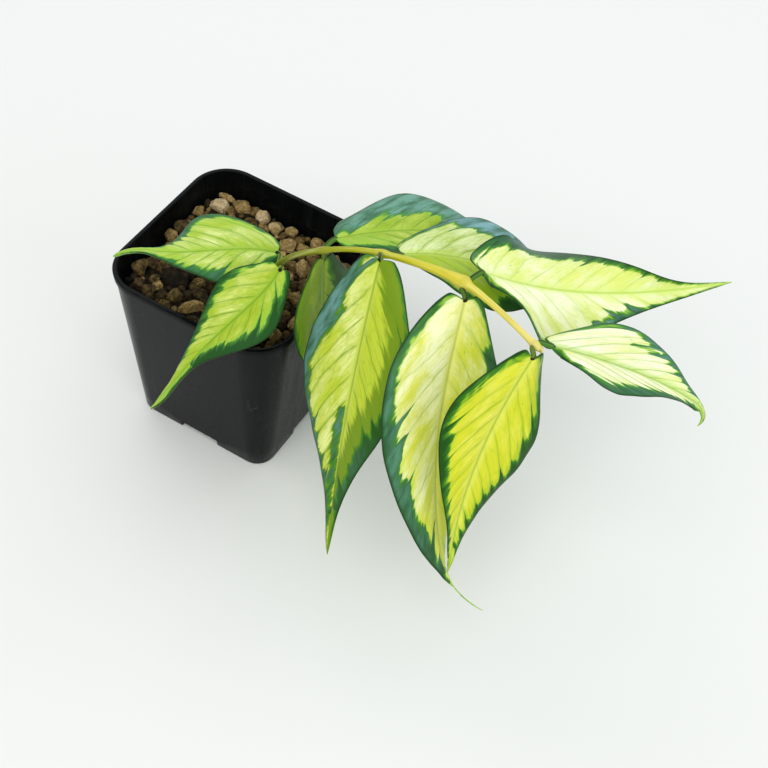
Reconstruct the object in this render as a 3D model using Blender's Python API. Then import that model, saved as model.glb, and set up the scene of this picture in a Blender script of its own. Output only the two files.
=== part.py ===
"""A potted wax plant: a square nursery pot filled with pumice, and one arching shoot with ten leaves.

Sizes and places are in millimetres and become metres when a mesh is made. +Z is up, the pot's walls lie
along X and Y, the shoot reaches out along +X, and the origin is the middle of the pot's foot, on the ground.
"""
import math
import random
from dataclasses import dataclass

import bmesh
import bpy
import numpy as np
from mathutils import Euler, Vector

MM = 0.001
GAP = 0.3  # air between two pieces that touch on the real plant
SAME_POINT = 0.004  # points closer than this after a Boolean are one point
BEYOND = 10.0  # how far a cutter reaches past what it cuts
END_TAPER = 0.6  # radius of a rounded end's last ring, as a share of the one before

# Pot
POT_TOP = 70.0  # across the rim
POT_FOOT = 56.0  # across the base
POT_HEIGHT = 72.0
POT_WALL = 1.1
RIM_LIP = 0.6  # how far the rim band stands out of the wall
RIM_BAND = 3.0  # height of the rim band
TOP_CORNER = 13.5  # corner radius at the rim
FOOT_CORNER = 7.0  # corner radius at the base
RIM_ROUND = 0.4  # the rim's outer edge is broken by this much
RIM_INNER_ROUND = 0.3
FOOT_ROUND = 0.5
FLOOR = 1.5
FLOOR_FILLET = 2.0  # between the floor and the wall, inside
CORNER_STEPS = 6
RECESS_WIDTH = 16.0  # the shallow recess in the middle of each base edge
RECESS_DEPTH = 13.0
RECESS_HEIGHT = 3.0
DRAIN_RADIUS = 2.5
DRAIN_FROM_EDGE = 7.5  # from the base edge to a drain hole's middle

# Pumice
GRAVEL_MIDDLE = 58.3  # height of the filling's own top at the pot's middle; the grains stand out of it
GRAVEL_SLOPE = -0.11  # it is heaped up towards -X
GRAIN_SEED = 12
GRAIN_TRIES = 1600
GRAIN_RADIUS = (1.9, 3.6)
GRAIN_SPREAD = 0.55  # the smallest grain of its turn, as a share of the largest
GRAIN_SPACING = 0.76  # nearest centres, as a share of the two radii
GRAIN_RISE = (-0.3, 0.45)  # of a grain's centre above the filling's top, in grain radii
GRAIN_UNEVEN = 0.13  # how far a grain's points lie in or out of round
GRAIN_ASPECT = (0.85, 1.15)  # half sizes of a scattered grain, in grain radii
GRAIN_TO_WALL = 0.7  # nearest centre to the pot's wall, in grain radii
FILLING_CORNER = 1.5  # the filling's top edge is broken by this much
HOLE_SIDES = 12


@dataclass
class Stone:
    """A grain that is placed by hand: its centre, its three half sizes and its turn about Z in degrees."""

    place: tuple
    half_sizes: tuple
    turn: float


STONES = (
    Stone(place=(-26.8, 23.5, 61.4), half_sizes=(3.4, 3.1, 3.0), turn=28),
    Stone(place=(-27.4, 29.2, 61.0), half_sizes=(3.6, 1.6, 1.6), turn=5),
    Stone(place=(-19.4, 28.6, 60.2), half_sizes=(3.9, 2.8, 2.5), turn=-3),
    Stone(place=(-10.8, 29.4, 60.0), half_sizes=(2.3, 3.1, 2.8), turn=15),
    Stone(place=(-4.3, 27.5, 59.4), half_sizes=(3.0, 2.6, 2.3), turn=60),
    Stone(place=(1.5, 29.1, 58.9), half_sizes=(2.8, 2.3, 2.2), turn=0),
    Stone(place=(3.7, 23.3, 59.2), half_sizes=(3.1, 2.8, 2.6), turn=40),
    Stone(place=(12.2, 29.4, 58.4), half_sizes=(2.8, 2.6, 2.8), turn=70),
    Stone(place=(8.9, 25.4, 58.4), half_sizes=(2.4, 2.1, 2.1), turn=20),
    Stone(place=(-30.2, 6.2, 62.9), half_sizes=(2.7, 2.6, 2.6), turn=50),
    Stone(place=(-30.0, 0.4, 62.8), half_sizes=(2.7, 2.5, 2.5), turn=10),
    Stone(place=(-30.0, 16.0, 63.0), half_sizes=(2.2, 2.1, 2.1), turn=35),
    Stone(place=(-29.8, -18.2, 63.4), half_sizes=(3.0, 2.7, 2.6), turn=75),
    Stone(place=(-28.0, -13.6, 62.8), half_sizes=(2.6, 2.3, 2.3), turn=25),
    Stone(place=(-17.6, -13.2, 61.3), half_sizes=(4.7, 4.0, 3.0), turn=10),
    Stone(place=(-6.9, -7.9, 60.0), half_sizes=(3.1, 2.6, 2.3), turn=55),
    Stone(place=(-8.1, -13.5, 60.0), half_sizes=(2.6, 2.5, 2.2), turn=0),
    Stone(place=(-13.4, -20.0, 60.6), half_sizes=(3.3, 2.4, 2.3), turn=65),
    Stone(place=(-22.0, -23.4, 61.6), half_sizes=(2.2, 2.1, 2.0), turn=30),
    Stone(place=(-26.2, -24.0, 62.0), half_sizes=(2.2, 2.3, 2.1), turn=80),
    Stone(place=(-17.2, -22.4, 60.8), half_sizes=(2.0, 2.3, 2.0), turn=45),
    Stone(place=(-7.2, -20.8, 59.8), half_sizes=(4.6, 2.3, 2.2), turn=42),
)

# Shoot
STEM_FOOT = (14.0, -5.0, 30.0)  # its buried end
STEM_COLLAR = (14.0, -5.0, 55.0)  # where it leaves the gravel
JOINTS = (
    (20.5, -8.0, 86.0),
    (34.0, -3.0, 97.0),
    (54.5, -1.0, 106.0),
    (84.5, -3.5, 113.0),
    (112.5, -11.0, 111.0),
)
STEM_TIP = (114.5, -11.8, 111.0)
FOOT_RADIUS = 1.5
INTERNODE_RADII = (1.2, 1.05, 1.4, 1.25, 0.9)  # below each joint
JOINT_RADII = (1.6, 1.5, 1.8, 1.9, 1.5)
SWELLING = 2.6  # how far a swollen joint reaches along the stem
BUD_RADIUS = 0.7
STEM_STEP = 2.0
STEM_SIDES = 10

# Stump of a former shoot
STUB_ENDS = ((0.5, 16.0, 50.0), (4.6, 14.8, 58.6), (8.2, 13.6, 66.0))
STUB_RADIUS = 0.85
STUB_KNOB = 1.15

# Leaves
STATIONS = np.array((0.08, 0.25, 0.45, 0.65, 0.85))  # shares of a blade's length where its half widths are given
MIDRIB_THICKNESS = 0.8
EDGE_THICKNESS = 0.6
RIB_DEPTH = 0.7  # how far the midrib stands out underneath at the blade's base
ARCH = 0.05  # rise of each half of a blade, as a share of its half width
STALK_RADIUS = 1.0
STALK_STEPS = 4
STALK_GAP = 0.45  # between a leaf stalk's end and the stem's swollen joint
STALK_BEND = 0.3  # how stiffly a stalk leaves the stem and meets the blade
SECTION_TURN = 72.0  # angle, in degrees, from the top of the round stalk to where its upper half ends
OPENS_BY = 0.03  # share of the blade's length over which the round stalk opens into the flat blade
TIP_HALF_WIDTH = 0.3
BLADE_RINGS = 22
BLADE_SPAN = (0.001, 0.985)  # shares of the curve's length that carry the blade
CURVE_STEPS = 120
ACROSS = np.array((-1.0, -0.5, 0.0, 0.5, 1.0))
HOOK_START = 0.8  # share of the blade's curve where a hooked tip begins to turn


@dataclass
class Leaf:
    """One leaf.

    The midrib is a curve from base to tip that is drawn towards shoulder and bend. hook is how far the tip is
    pulled aside at the end. roll and end_roll turn the blade about its midrib at the base and at the tip, in
    degrees, and mid_roll is added half way. left and right are half widths at STATIONS, seen from above with
    the tip pointing away, and left_lift and right_lift raise the edges there.
    """

    name: str
    joint: int
    base: tuple
    shoulder: tuple
    bend: tuple
    tip: tuple
    roll: float
    end_roll: float
    left: tuple
    right: tuple
    mid_roll: float = 0.0
    hook: tuple = (0.0, 0.0, 0.0)
    left_lift: tuple = (0.0, 0.0, 0.0, 0.0, 0.0)
    right_lift: tuple = (0.0, 0.0, 0.0, 0.0, 0.0)


LEAVES = (
    Leaf(
        name="leaf_1", joint=0,
        base=(15.8, -1.2, 83.2), shoulder=(1.5, -10.8, 89.0), bend=(-2.9, -30.2, 90.6), tip=(-23.1, -38.3, 90.0),
        roll=12, end_roll=-34,
        left=(6.5, 12.8, 12.0, 6.8, 2.2), right=(8.3, 16.4, 17.5, 6.8, 2.4),
        hook=(2.5, -3.0, -3.0),
        left_lift=(-1.0, -3.0, -3.5, -1.0, 0.0),
    ),
    Leaf(
        name="leaf_2", joint=0,
        base=(24.8, -13.2, 91.6), shoulder=(26.2, -30.2, 86.6), bend=(14.9, -47.8, 82.1), tip=(11.8, -66.9, 66.1),
        roll=13, end_roll=-44,
        left=(5.9, 12.0, 12.2, 4.3, 3.6), right=(9.0, 13.8, 11.2, 6.6, 2.8),
        hook=(-2.4, -0.6, -0.2),
        right_lift=(0.5, 2.0, 1.2, 0.0, 0.0),
    ),
    Leaf(
        name="leaf_3", joint=1,
        base=(35.0, 2.4, 98.2), shoulder=(50.0, 19.0, 99.5), bend=(65.0, 33.0, 95.5), tip=(81.0, 46.5, 83.0),
        roll=16, end_roll=-6,
        left=(10.5, 16.5, 20.0, 12.5, 4.0), right=(8.5, 14.0, 18.5, 12.5, 4.5),
    ),
    Leaf(
        name="leaf_4", joint=1,
        base=(35.0, -3.8, 94.8), shoulder=(38.7, -9.5, 78.5), bend=(39.7, -11.0, 56.5), tip=(47.4, -13.8, 31.4),
        roll=52, end_roll=52,
        left=(9.0, 17.0, 17.0, 12.0, 4.5), right=(9.5, 17.0, 16.5, 10.5, 4.5),
    ),
    Leaf(
        name="leaf_5", joint=2,
        base=(56.5, -6.0, 109.5), shoulder=(61.0, -22.5, 87.5), bend=(66.5, -42.0, 63.0), tip=(78.5, -65.5, 37.5),
        roll=-24, end_roll=-52,
        left=(11.0, 19.0, 20.0, 11.5, 3.0), right=(11.5, 20.0, 22.0, 12.5, 3.5),
    ),
    Leaf(
        name="leaf_6", joint=2,
        base=(59.5, 2.0, 106.0), shoulder=(71.0, 18.0, 102.0), bend=(92.0, 25.5, 96.0), tip=(110.0, 38.0, 84.0),
        roll=14, end_roll=-15,
        left=(9.0, 17.0, 21.0, 13.0, 4.0), right=(11.0, 18.0, 19.5, 13.0, 5.0),
    ),
    Leaf(
        name="leaf_7", joint=3,
        base=(87.0, 2.5, 114.5), shoulder=(99.0, 23.5, 93.5), bend=(122.0, 37.5, 92.0), tip=(150.5, 53.5, 104.5),
        roll=12, end_roll=-44, mid_roll=-15,
        left=(12.0, 17.5, 16.5, 8.5, 1.0), right=(3.0, 18.0, 15.0, 7.0, 2.0),
        hook=(0.5, 0.5, 0.0),
        left_lift=(3.0, -2.0, -13.0, 1.0, 0.0), right_lift=(-1.5, -2.0, -6.5, 1.0, 0.0),
    ),
    Leaf(
        name="leaf_8", joint=3,
        base=(87.5, -9.0, 112.5), shoulder=(89.5, -19.0, 86.0), bend=(97.0, -49.0, 59.5), tip=(129.0, -52.0, 31.5),
        roll=27, end_roll=47,
        left=(10.0, 19.0, 21.0, 10.5, 3.5), right=(10.5, 20.0, 19.5, 14.0, 4.0),
        hook=(4.0, 6.0, 4.0),
        left_lift=(-2.0, 0.0, -1.0, -1.0, -1.0), right_lift=(-3.5, 0.0, -1.5, 0.0, -1.0),
    ),
    Leaf(
        name="leaf_9", joint=4,
        base=(114.0, -15.0, 110.5), shoulder=(110.3, -23.7, 93.0), bend=(107.3, -39.2, 72.0),
        tip=(114.8, -52.6, 42.4),
        roll=60, end_roll=41,
        left=(8.0, 14.5, 17.0, 11.0, 4.0), right=(6.0, 16.0, 14.5, 8.5, 2.5),
        left_lift=(-4.5, -1.0, 0.0, 0.0, 0.0), right_lift=(-3.0, 0.0, -1.0, 1.0, 0.5),
    ),
    Leaf(
        name="leaf_10", joint=4,
        base=(117.0, -9.0, 111.5), shoulder=(130.0, 1.0, 104.0), bend=(151.5, 7.5, 103.5), tip=(162.5, 6.0, 90.0),
        roll=14, end_roll=14,
        left=(9.5, 15.5, 17.5, 11.5, 3.5), right=(4.5, 16.5, 14.5, 10.0, 2.5),
        hook=(-6.5, -3.0, -2.0),
        left_lift=(-1.5, 1.0, 3.5, 2.5, 0.0), right_lift=(-1.0, 2.0, 1.5, 3.0, -0.5),
    ),
)


def new_material(name, colour, roughness):
    """A plain Principled material; colour is linear red, green and blue."""
    material = bpy.data.materials.new(name)
    material.use_nodes = True
    shader = material.node_tree.nodes["Principled BSDF"]
    shader.inputs["Base Color"].default_value = (*colour, 1.0)
    shader.inputs["Roughness"].default_value = roughness
    shader.inputs["Metallic"].default_value = 0.0
    return material


def new_object(name, points, faces):
    """An object whose mesh has the given points, in millimetres, and faces that point outwards."""
    mesh = bpy.data.meshes.new(name)
    mesh.from_pydata((np.asarray(points) * MM).tolist(), [], faces)
    shape = bmesh.new()
    shape.from_mesh(mesh)
    bmesh.ops.recalc_face_normals(shape, faces=shape.faces)
    shape.to_mesh(mesh)
    shape.free()
    obj = bpy.data.objects.new(name, mesh)
    bpy.context.scene.collection.objects.link(obj)
    return obj


def loft(name, rings):
    """A closed solid through rings that all have the same number of points, capped at both ends."""
    count = len(rings[0])
    faces = []
    for i in range(len(rings) - 1):
        for j in range(count):
            k = (j + 1) % count
            a, b = i * count, (i + 1) * count
            faces.append((a + j, a + k, b + k, b + j))
    last = (len(rings) - 1) * count
    faces.append(tuple(range(count)))
    faces.append(tuple(last + j for j in range(count)))
    return new_object(name, np.concatenate(rings), faces)


def box(name, low, high):
    """A closed box between two corners, in millimetres."""
    corners = [(low[0], low[1]), (high[0], low[1]), (high[0], high[1]), (low[0], high[1])]
    return loft(name, [np.array([(x, y, z) for x, y in corners]) for z in (low[2], high[2])])


def cylinder(name, x, y, low, high, radius, sides=16):
    """A closed upright cylinder, in millimetres."""
    angles = np.linspace(0, 2 * math.pi, sides, endpoint=False)
    ring = np.stack([x + radius * np.cos(angles), y + radius * np.sin(angles)], 1)
    return loft(name, [np.c_[ring, np.full(sides, z)] for z in (low, high)])


def apply_boolean(obj, operation, cutters):
    """Join the cutters to obj or cut them out of it, in one step, and remove them."""
    group = bpy.data.collections.new("cutters")
    for cutter in cutters:
        group.objects.link(cutter)
    modifier = obj.modifiers.new(operation.lower(), "BOOLEAN")
    modifier.operand_type = "COLLECTION"
    modifier.collection = group
    modifier.operation = operation
    modifier.solver = "EXACT"
    bpy.context.view_layer.update()
    result = bpy.data.meshes.new_from_object(obj.evaluated_get(bpy.context.evaluated_depsgraph_get()))
    obj.modifiers.remove(modifier)
    old = obj.data
    obj.data = result
    result.name = obj.name
    bpy.data.meshes.remove(old)
    for cutter in list(cutters):
        bpy.data.objects.remove(cutter)
    bpy.data.collections.remove(group)


def clean(obj):
    """Merge points that fall together after a Boolean."""
    distance = SAME_POINT * MM
    shape = bmesh.new()
    shape.from_mesh(obj.data)
    bmesh.ops.remove_doubles(shape, verts=shape.verts, dist=distance)
    bmesh.ops.dissolve_degenerate(shape, edges=shape.edges, dist=distance)
    shape.to_mesh(obj.data)
    shape.free()


def finish(obj, material, smooth_angle=None):
    """Give obj its material, and shade it smooth except at edges sharper than smooth_angle degrees."""
    obj.data.materials.clear()
    obj.data.materials.append(material)
    if smooth_angle is not None:
        obj.data.shade_smooth()
        obj.data.set_sharp_from_angle(angle=math.radians(smooth_angle))
    return obj


def rounded_square(half, corner, z):
    """Points round a square of half width half, with quarter-circle corners, at height z."""
    points = []
    for quarter in range(4):
        start = quarter * math.pi / 2
        cx = (half - corner) * (1 if quarter in (0, 3) else -1)
        cy = (half - corner) * (1 if quarter in (0, 1) else -1)
        for step in range(CORNER_STEPS + 1):
            angle = start + step * math.pi / 2 / CORNER_STEPS
            points.append((cx + corner * math.cos(angle), cy + corner * math.sin(angle), z))
    return np.array(points)


def wall_half(z):
    """Half width of the pot's outer wall at height z, without the rim band."""
    return POT_FOOT / 2 + (POT_TOP / 2 - RIM_LIP - POT_FOOT / 2) * z / POT_HEIGHT


def wall_corner(z):
    """Corner radius of the pot's outer wall at height z."""
    return FOOT_CORNER + (TOP_CORNER - FOOT_CORNER) * z / POT_HEIGHT


def wall_ring(z, inset=0.0):
    """The wall's outline at height z, moved inwards by inset."""
    return rounded_square(wall_half(z) - inset, wall_corner(z) - inset, z)


def recess_boxes(grow, low, top, past_edge):
    """One box at the middle of each base edge, from past_edge outside it inwards; grow widens it all round."""
    half = RECESS_WIDTH / 2 + grow
    outer = POT_FOOT / 2 + past_edge
    inner = POT_FOOT / 2 - RECESS_DEPTH - grow
    spans = (
        ((inner, -half), (outer, half)),
        ((-outer, -half), (-inner, half)),
        ((-half, inner), (half, outer)),
        ((-half, -outer), (half, -inner)),
    )
    return [box("recess", (*a, low), (*b, top)) for a, b in spans]


def make_pot():
    """The pot: a thin tapered shell with a rim band, four feet, four base recesses and a drain in each."""
    band = POT_HEIGHT - RIM_BAND
    rings = [
        wall_ring(0.0, FOOT_ROUND),
        wall_ring(FOOT_ROUND),
        wall_ring(band),
        wall_ring(band + RIM_LIP / 2, -RIM_LIP),
        wall_ring(POT_HEIGHT - RIM_ROUND, -RIM_LIP),
        wall_ring(POT_HEIGHT, -RIM_LIP + RIM_ROUND),
        wall_ring(POT_HEIGHT, POT_WALL - RIM_INNER_ROUND),
        wall_ring(POT_HEIGHT - RIM_INNER_ROUND, POT_WALL),
        wall_ring(FLOOR + FLOOR_FILLET, POT_WALL),
        wall_ring(FLOOR, POT_WALL + FLOOR_FILLET),
    ]
    pot = loft("pot", rings)
    apply_boolean(pot, "UNION", recess_boxes(FLOOR, FLOOR / 2, RECESS_HEIGHT + FLOOR, -POT_WALL / 3))
    apply_boolean(pot, "DIFFERENCE", recess_boxes(0.0, -BEYOND, RECESS_HEIGHT, BEYOND))
    drain = POT_FOOT / 2 - DRAIN_FROM_EDGE
    places = ((drain, 0.0), (-drain, 0.0), (0.0, drain), (0.0, -drain))
    drains = [
        cylinder("drain", x, y, RECESS_HEIGHT / 2, RECESS_HEIGHT + FLOOR * 2, DRAIN_RADIUS)
        for x, y in places
    ]
    apply_boolean(pot, "DIFFERENCE", drains)
    clean(pot)
    return finish(pot, new_material("black_moulded_plastic", (0.024, 0.028, 0.028), 0.42), 30)


def smooth_curve(points, step):
    """A smooth curve through all points, with a point about every step, by a Catmull-Rom spline."""
    points = [Vector(p) for p in points]
    ends = [points[0] * 2 - points[1], *points, points[-1] * 2 - points[-2]]
    curve = []
    for a, b, c, d in zip(ends, ends[1:], ends[2:], ends[3:]):
        count = max(2, round((c - b).length / step))
        for i in range(count):
            t = i / count
            curve.append(
                0.5 * (2 * b + (c - a) * t + (2 * a - 5 * b + 4 * c - d) * t**2 + (3 * b - a - 3 * c + d) * t**3)
            )
    curve.append(points[-1])
    return np.array(curve)


def tangents(path):
    """Unit directions along a path."""
    direction = np.gradient(path, axis=0)
    return direction / np.linalg.norm(direction, axis=1, keepdims=True)


def tube(name, path, radii, sides=STEM_SIDES):
    """A closed round tube along path with a radius at each of its points; its rings don't twist."""
    along = tangents(path)
    side = np.cross(along[0], (0.0, 1.0, 0.0))
    rings = []
    angles = np.linspace(0, 2 * math.pi, sides, endpoint=False)
    for point, direction, radius in zip(path, along, radii):
        side = side - direction * np.dot(side, direction)
        side = side / np.linalg.norm(side)
        other = np.cross(direction, side)
        rings.append(point + radius * (np.cos(angles)[:, None] * side + np.sin(angles)[:, None] * other))
    return loft(name, rings)


def stem_path():
    """The stem's centre line from its buried end to its growing tip."""
    return smooth_curve((STEM_FOOT, STEM_COLLAR, *JOINTS, STEM_TIP), STEM_STEP)


def stem_radii(path):
    """The stem's radius at each point of path: slim between joints and swollen at them."""
    marks = np.array((STEM_FOOT, STEM_COLLAR, *JOINTS, STEM_TIP))
    nearest = [int(np.argmin(np.linalg.norm(path - mark, axis=1))) for mark in marks]
    middles = [(a + b) / 2 for a, b in zip(nearest[1:], nearest[2:])][:-1]
    plain = np.interp(np.arange(len(path)), [nearest[1], *middles], [FOOT_RADIUS, *INTERNODE_RADII[: len(middles)]])
    radii = np.where(np.arange(len(path)) > nearest[-2], INTERNODE_RADII[-1], plain)
    for joint, swollen in zip(JOINTS, JOINT_RADII):
        away = np.linalg.norm(path - np.array(joint), axis=1) / SWELLING
        radii = radii + np.maximum(0.0, swollen - radii) * np.exp(-(away**2))
    radii[-2:] = (BUD_RADIUS, BUD_RADIUS * END_TAPER)
    return radii


def make_stem():
    """The shoot's stem, with its swollen joints and the bud at its tip."""
    path = stem_path()
    stem = tube("stem", path, stem_radii(path))
    return finish(stem, new_material("green_stem", (0.45, 0.46, 0.05), 0.45), 60)


def make_stub():
    """The dry stump of a former shoot."""
    path = smooth_curve(STUB_ENDS, STEM_STEP)
    radii = np.full(len(path), STUB_RADIUS)
    radii[-3:] = (STUB_KNOB, STUB_KNOB, STUB_KNOB * END_TAPER)
    return finish(tube("stub", path, radii), new_material("dry_stem", (0.5, 0.24, 0.07), 0.8), 40)


def grain(generator, place, half_sizes, turn):
    """A rounded, uneven grain of pumice as a closed low mesh."""
    shape = bmesh.new()
    bmesh.ops.create_icosphere(shape, subdivisions=1, radius=1.0)
    turned = Euler([generator.uniform(0, 2 * math.pi) for _ in range(3)])
    points = []
    for vert in shape.verts:
        point = vert.co.copy()
        point.rotate(turned)
        push = 1.0 + generator.uniform(-GRAIN_UNEVEN, GRAIN_UNEVEN)
        points.append(Vector([c * size * push for c, size in zip(point, half_sizes)]))
    faces = [tuple(v.index for v in face.verts) for face in shape.faces]
    shape.free()
    spin = Euler((0.0, 0.0, math.radians(turn)))
    for point in points:
        point.rotate(spin)
    return new_object("grain", np.array([p + Vector(place) for p in points]), faces)


def gravel_level(x):
    """Height of the filling's own top at x."""
    return GRAVEL_MIDDLE + GRAVEL_SLOPE * x


def inside(x, y, z, margin):
    """Whether a point is at least margin inside the pot's inner wall at height z."""
    half = wall_half(z) - POT_WALL - margin
    corner = wall_corner(z) - POT_WALL - margin
    dx, dy = max(0.0, abs(x) - (half - corner)), max(0.0, abs(y) - (half - corner))
    return abs(x) < half and abs(y) < half and math.hypot(dx, dy) < corner


def scattered_grains(generator):
    """Places and sizes for grains over the gravel's top, thrown at random and kept a little apart."""
    kept = [(stone.place, max(stone.half_sizes[:2])) for stone in STONES]
    grains = []
    reach = POT_TOP / 2
    for attempt in range(GRAIN_TRIES):
        largest = GRAIN_RADIUS[1] - (GRAIN_RADIUS[1] - GRAIN_RADIUS[0]) * attempt / GRAIN_TRIES
        radius = max(GRAIN_RADIUS[0], largest * generator.uniform(GRAIN_SPREAD, 1.0))
        x, y = generator.uniform(-reach, reach), generator.uniform(-reach, reach)
        z = gravel_level(x) + radius * generator.uniform(*GRAIN_RISE)
        if not inside(x, y, z, radius * GRAIN_TO_WALL):
            continue
        if any(math.hypot(x - p[0], y - p[1]) < (radius + r) * GRAIN_SPACING for p, r in kept):
            continue
        kept.append(((x, y, z), radius))
        sizes = [radius * generator.uniform(*GRAIN_ASPECT) for _ in range(3)]
        grains.append(((x, y, z), sizes, generator.uniform(0, 360)))
    return grains


def tilted(ring, drop=0.0):
    """A ring of points moved onto the slope of the filling's top, less drop."""
    return np.c_[ring[:, :2], gravel_level(ring[:, 0]) - drop]


def make_pumice(stem, stub):
    """The gravel: one filling with grains standing out of it, and plain holes for the stem and the stump."""
    clear = POT_WALL + GAP
    inset = clear + SAME_POINT
    foot = (wall_ring(FLOOR + GAP, inset + FLOOR_FILLET), wall_ring(FLOOR + GAP + FLOOR_FILLET, inset))
    shoulder = tilted(wall_ring(GRAVEL_MIDDLE, inset), FILLING_CORNER)
    pumice = loft("pumice", [*foot, shoulder, tilted(wall_ring(GRAVEL_MIDDLE, inset + FILLING_CORNER))])
    generator = random.Random(GRAIN_SEED)
    grains = [grain(generator, stone.place, stone.half_sizes, stone.turn) for stone in STONES]
    grains += [grain(generator, *one) for one in scattered_grains(generator)]
    apply_boolean(pumice, "UNION", grains)
    inner_wall = loft("room", [wall_ring(-BEYOND, clear), wall_ring(POT_HEIGHT, clear)])
    apply_boolean(pumice, "INTERSECT", [inner_wall])
    apply_boolean(pumice, "DIFFERENCE", recess_boxes(FLOOR + GAP, 0.0, RECESS_HEIGHT + FLOOR + GAP, 0.0))
    apply_boolean(pumice, "DIFFERENCE", [stem, stub])
    clean(pumice)
    return finish(pumice, new_material("pumice_gravel", (0.25, 0.17, 0.09), 0.9), 25)


def hole_cutters():
    """Tubes for the holes in the gravel: the stem's and the stump's own paths, one gap wider all round."""
    path = stem_path()
    low = path[path[:, 2] < POT_HEIGHT]
    low = np.concatenate([low[:1] - (0.0, 0.0, GAP), low])
    stem = tube("stem_hole", low, np.full(len(low), FOOT_RADIUS + GAP), HOLE_SIDES)
    path = smooth_curve(STUB_ENDS, STEM_STEP)
    path = np.concatenate([path[:1] - tangents(path)[0] * GAP, path])
    stub = tube("stub_hole", path, np.full(len(path), STUB_KNOB + GAP), HOLE_SIDES)
    return stem, stub


def half_width(share, sizes):
    """A smooth outline through the half widths at STATIONS: round at the base, drawn out at the tip."""
    envelope = np.sqrt(STATIONS) * (1.0 - STATIONS)
    fit = np.polyfit(STATIONS, np.array(sizes) / envelope, len(STATIONS) - 1)
    return np.sqrt(share) * (1.0 - share) * np.polyval(fit, share)


def midrib(leaf, shares):
    """Points at the given shares of the blade's length, along a cubic curve from base to tip."""
    base, shoulder, bend = (np.array(p) for p in (leaf.base, leaf.shoulder, leaf.bend))
    hook = np.array(leaf.hook)
    tip = np.array(leaf.tip) - hook
    t = np.linspace(0.0, 1.0, CURVE_STEPS + 1)[:, None]
    curve = (1 - t) ** 3 * base + 3 * (1 - t) ** 2 * t * shoulder + 3 * (1 - t) * t**2 * bend + t**3 * tip
    curve += hook * np.clip((t - HOOK_START) / (1.0 - HOOK_START), 0.0, 1.0) ** 2
    reached = np.r_[0.0, np.cumsum(np.linalg.norm(np.diff(curve, axis=0), axis=1))]
    return np.stack([np.interp(shares * reached[-1], reached, curve[:, i]) for i in range(3)], 1)


def way_out(leaf):
    """Unit vector square to the stem from its joint towards the leaf's base."""
    joint = np.array(JOINTS[leaf.joint])
    path = stem_path()
    along = tangents(path)[int(np.argmin(np.linalg.norm(path - joint, axis=1)))]
    out = np.array(leaf.base) - joint
    out = out - along * np.dot(out, along)
    return out / np.linalg.norm(out)


def stalk_path(leaf, heading):
    """Points of the leaf stalk, from one gap off the stem to just short of the blade's base."""
    base = np.array(leaf.base)
    out = way_out(leaf)
    start = np.array(JOINTS[leaf.joint]) + out * (JOINT_RADII[leaf.joint] + STALK_GAP)
    reach = np.linalg.norm(base - start) * STALK_BEND
    a, b = start + out * reach, base - heading * reach
    t = np.linspace(0.0, 1.0, STALK_STEPS, endpoint=False)[:, None]
    return (1 - t) ** 3 * start + 3 * (1 - t) ** 2 * t * a + 3 * (1 - t) * t**2 * b + t**3 * base


def blade_frame(leaf, path, share):
    """Unit vectors to the blade's right and out of its upper face, at each point of path."""
    along = tangents(path)
    along[0] = way_out(leaf)
    side = np.cross(along, (0.0, 0.0, 1.0))
    side /= np.linalg.norm(side, axis=1, keepdims=True)
    up = np.cross(side, along)
    turn = leaf.roll + (leaf.end_roll - leaf.roll) * share + leaf.mid_roll * 4 * share * (1 - share)
    turn = np.radians(turn)[:, None]
    return side * np.cos(turn) + up * np.sin(turn), up * np.cos(turn) - side * np.sin(turn)


def make_leaf(leaf, material):
    """One leaf in one solid: a round stalk that opens into a thin arched blade with a rib underneath."""
    shares = (1.0 - np.cos(np.linspace(0.0, math.pi, BLADE_RINGS + 1))) / 2
    shares = BLADE_SPAN[0] + (BLADE_SPAN[1] - BLADE_SPAN[0]) * shares
    blade = midrib(leaf, shares)
    heading = (blade[1] - blade[0]) / np.linalg.norm(blade[1] - blade[0])
    stalk = stalk_path(leaf, heading)
    path = np.concatenate([stalk, blade])
    share = np.concatenate([np.zeros(len(stalk)), shares])
    side, up = blade_frame(leaf, path, share)
    opened = np.clip(share / OPENS_BY, 0.0, 1.0)
    top, bottom = [], []
    for across in ACROSS:
        away = abs(across)
        sizes, lifts = (leaf.left, leaf.left_lift) if across < 0 else (leaf.right, leaf.right_lift)
        width = np.maximum(half_width(share, sizes), TIP_HALF_WIDTH)
        height = half_width(share, lifts) * away**2 + ARCH * width * 4 * away * (1 - away)
        thick = MIDRIB_THICKNESS + (EDGE_THICKNESS - MIDRIB_THICKNESS) * away
        rib = RIB_DEPTH * (1 - share) if across == 0 else 0.0
        angle = math.radians(SECTION_TURN) * across
        out = STALK_RADIUS * math.sin(angle) * (1 - opened) + width * across * opened
        stalk_half = STALK_RADIUS * math.cos(angle) * (1 - opened)
        high = stalk_half + (height + thick / 2) * opened
        low = -stalk_half + (height - thick / 2 - rib) * opened
        top.append(path + side * out[:, None] + up * high[:, None])
        bottom.append(path + side * out[:, None] + up * low[:, None])
    return skin(leaf.name, np.stack(top, 1), np.stack(bottom, 1), material)


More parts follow.
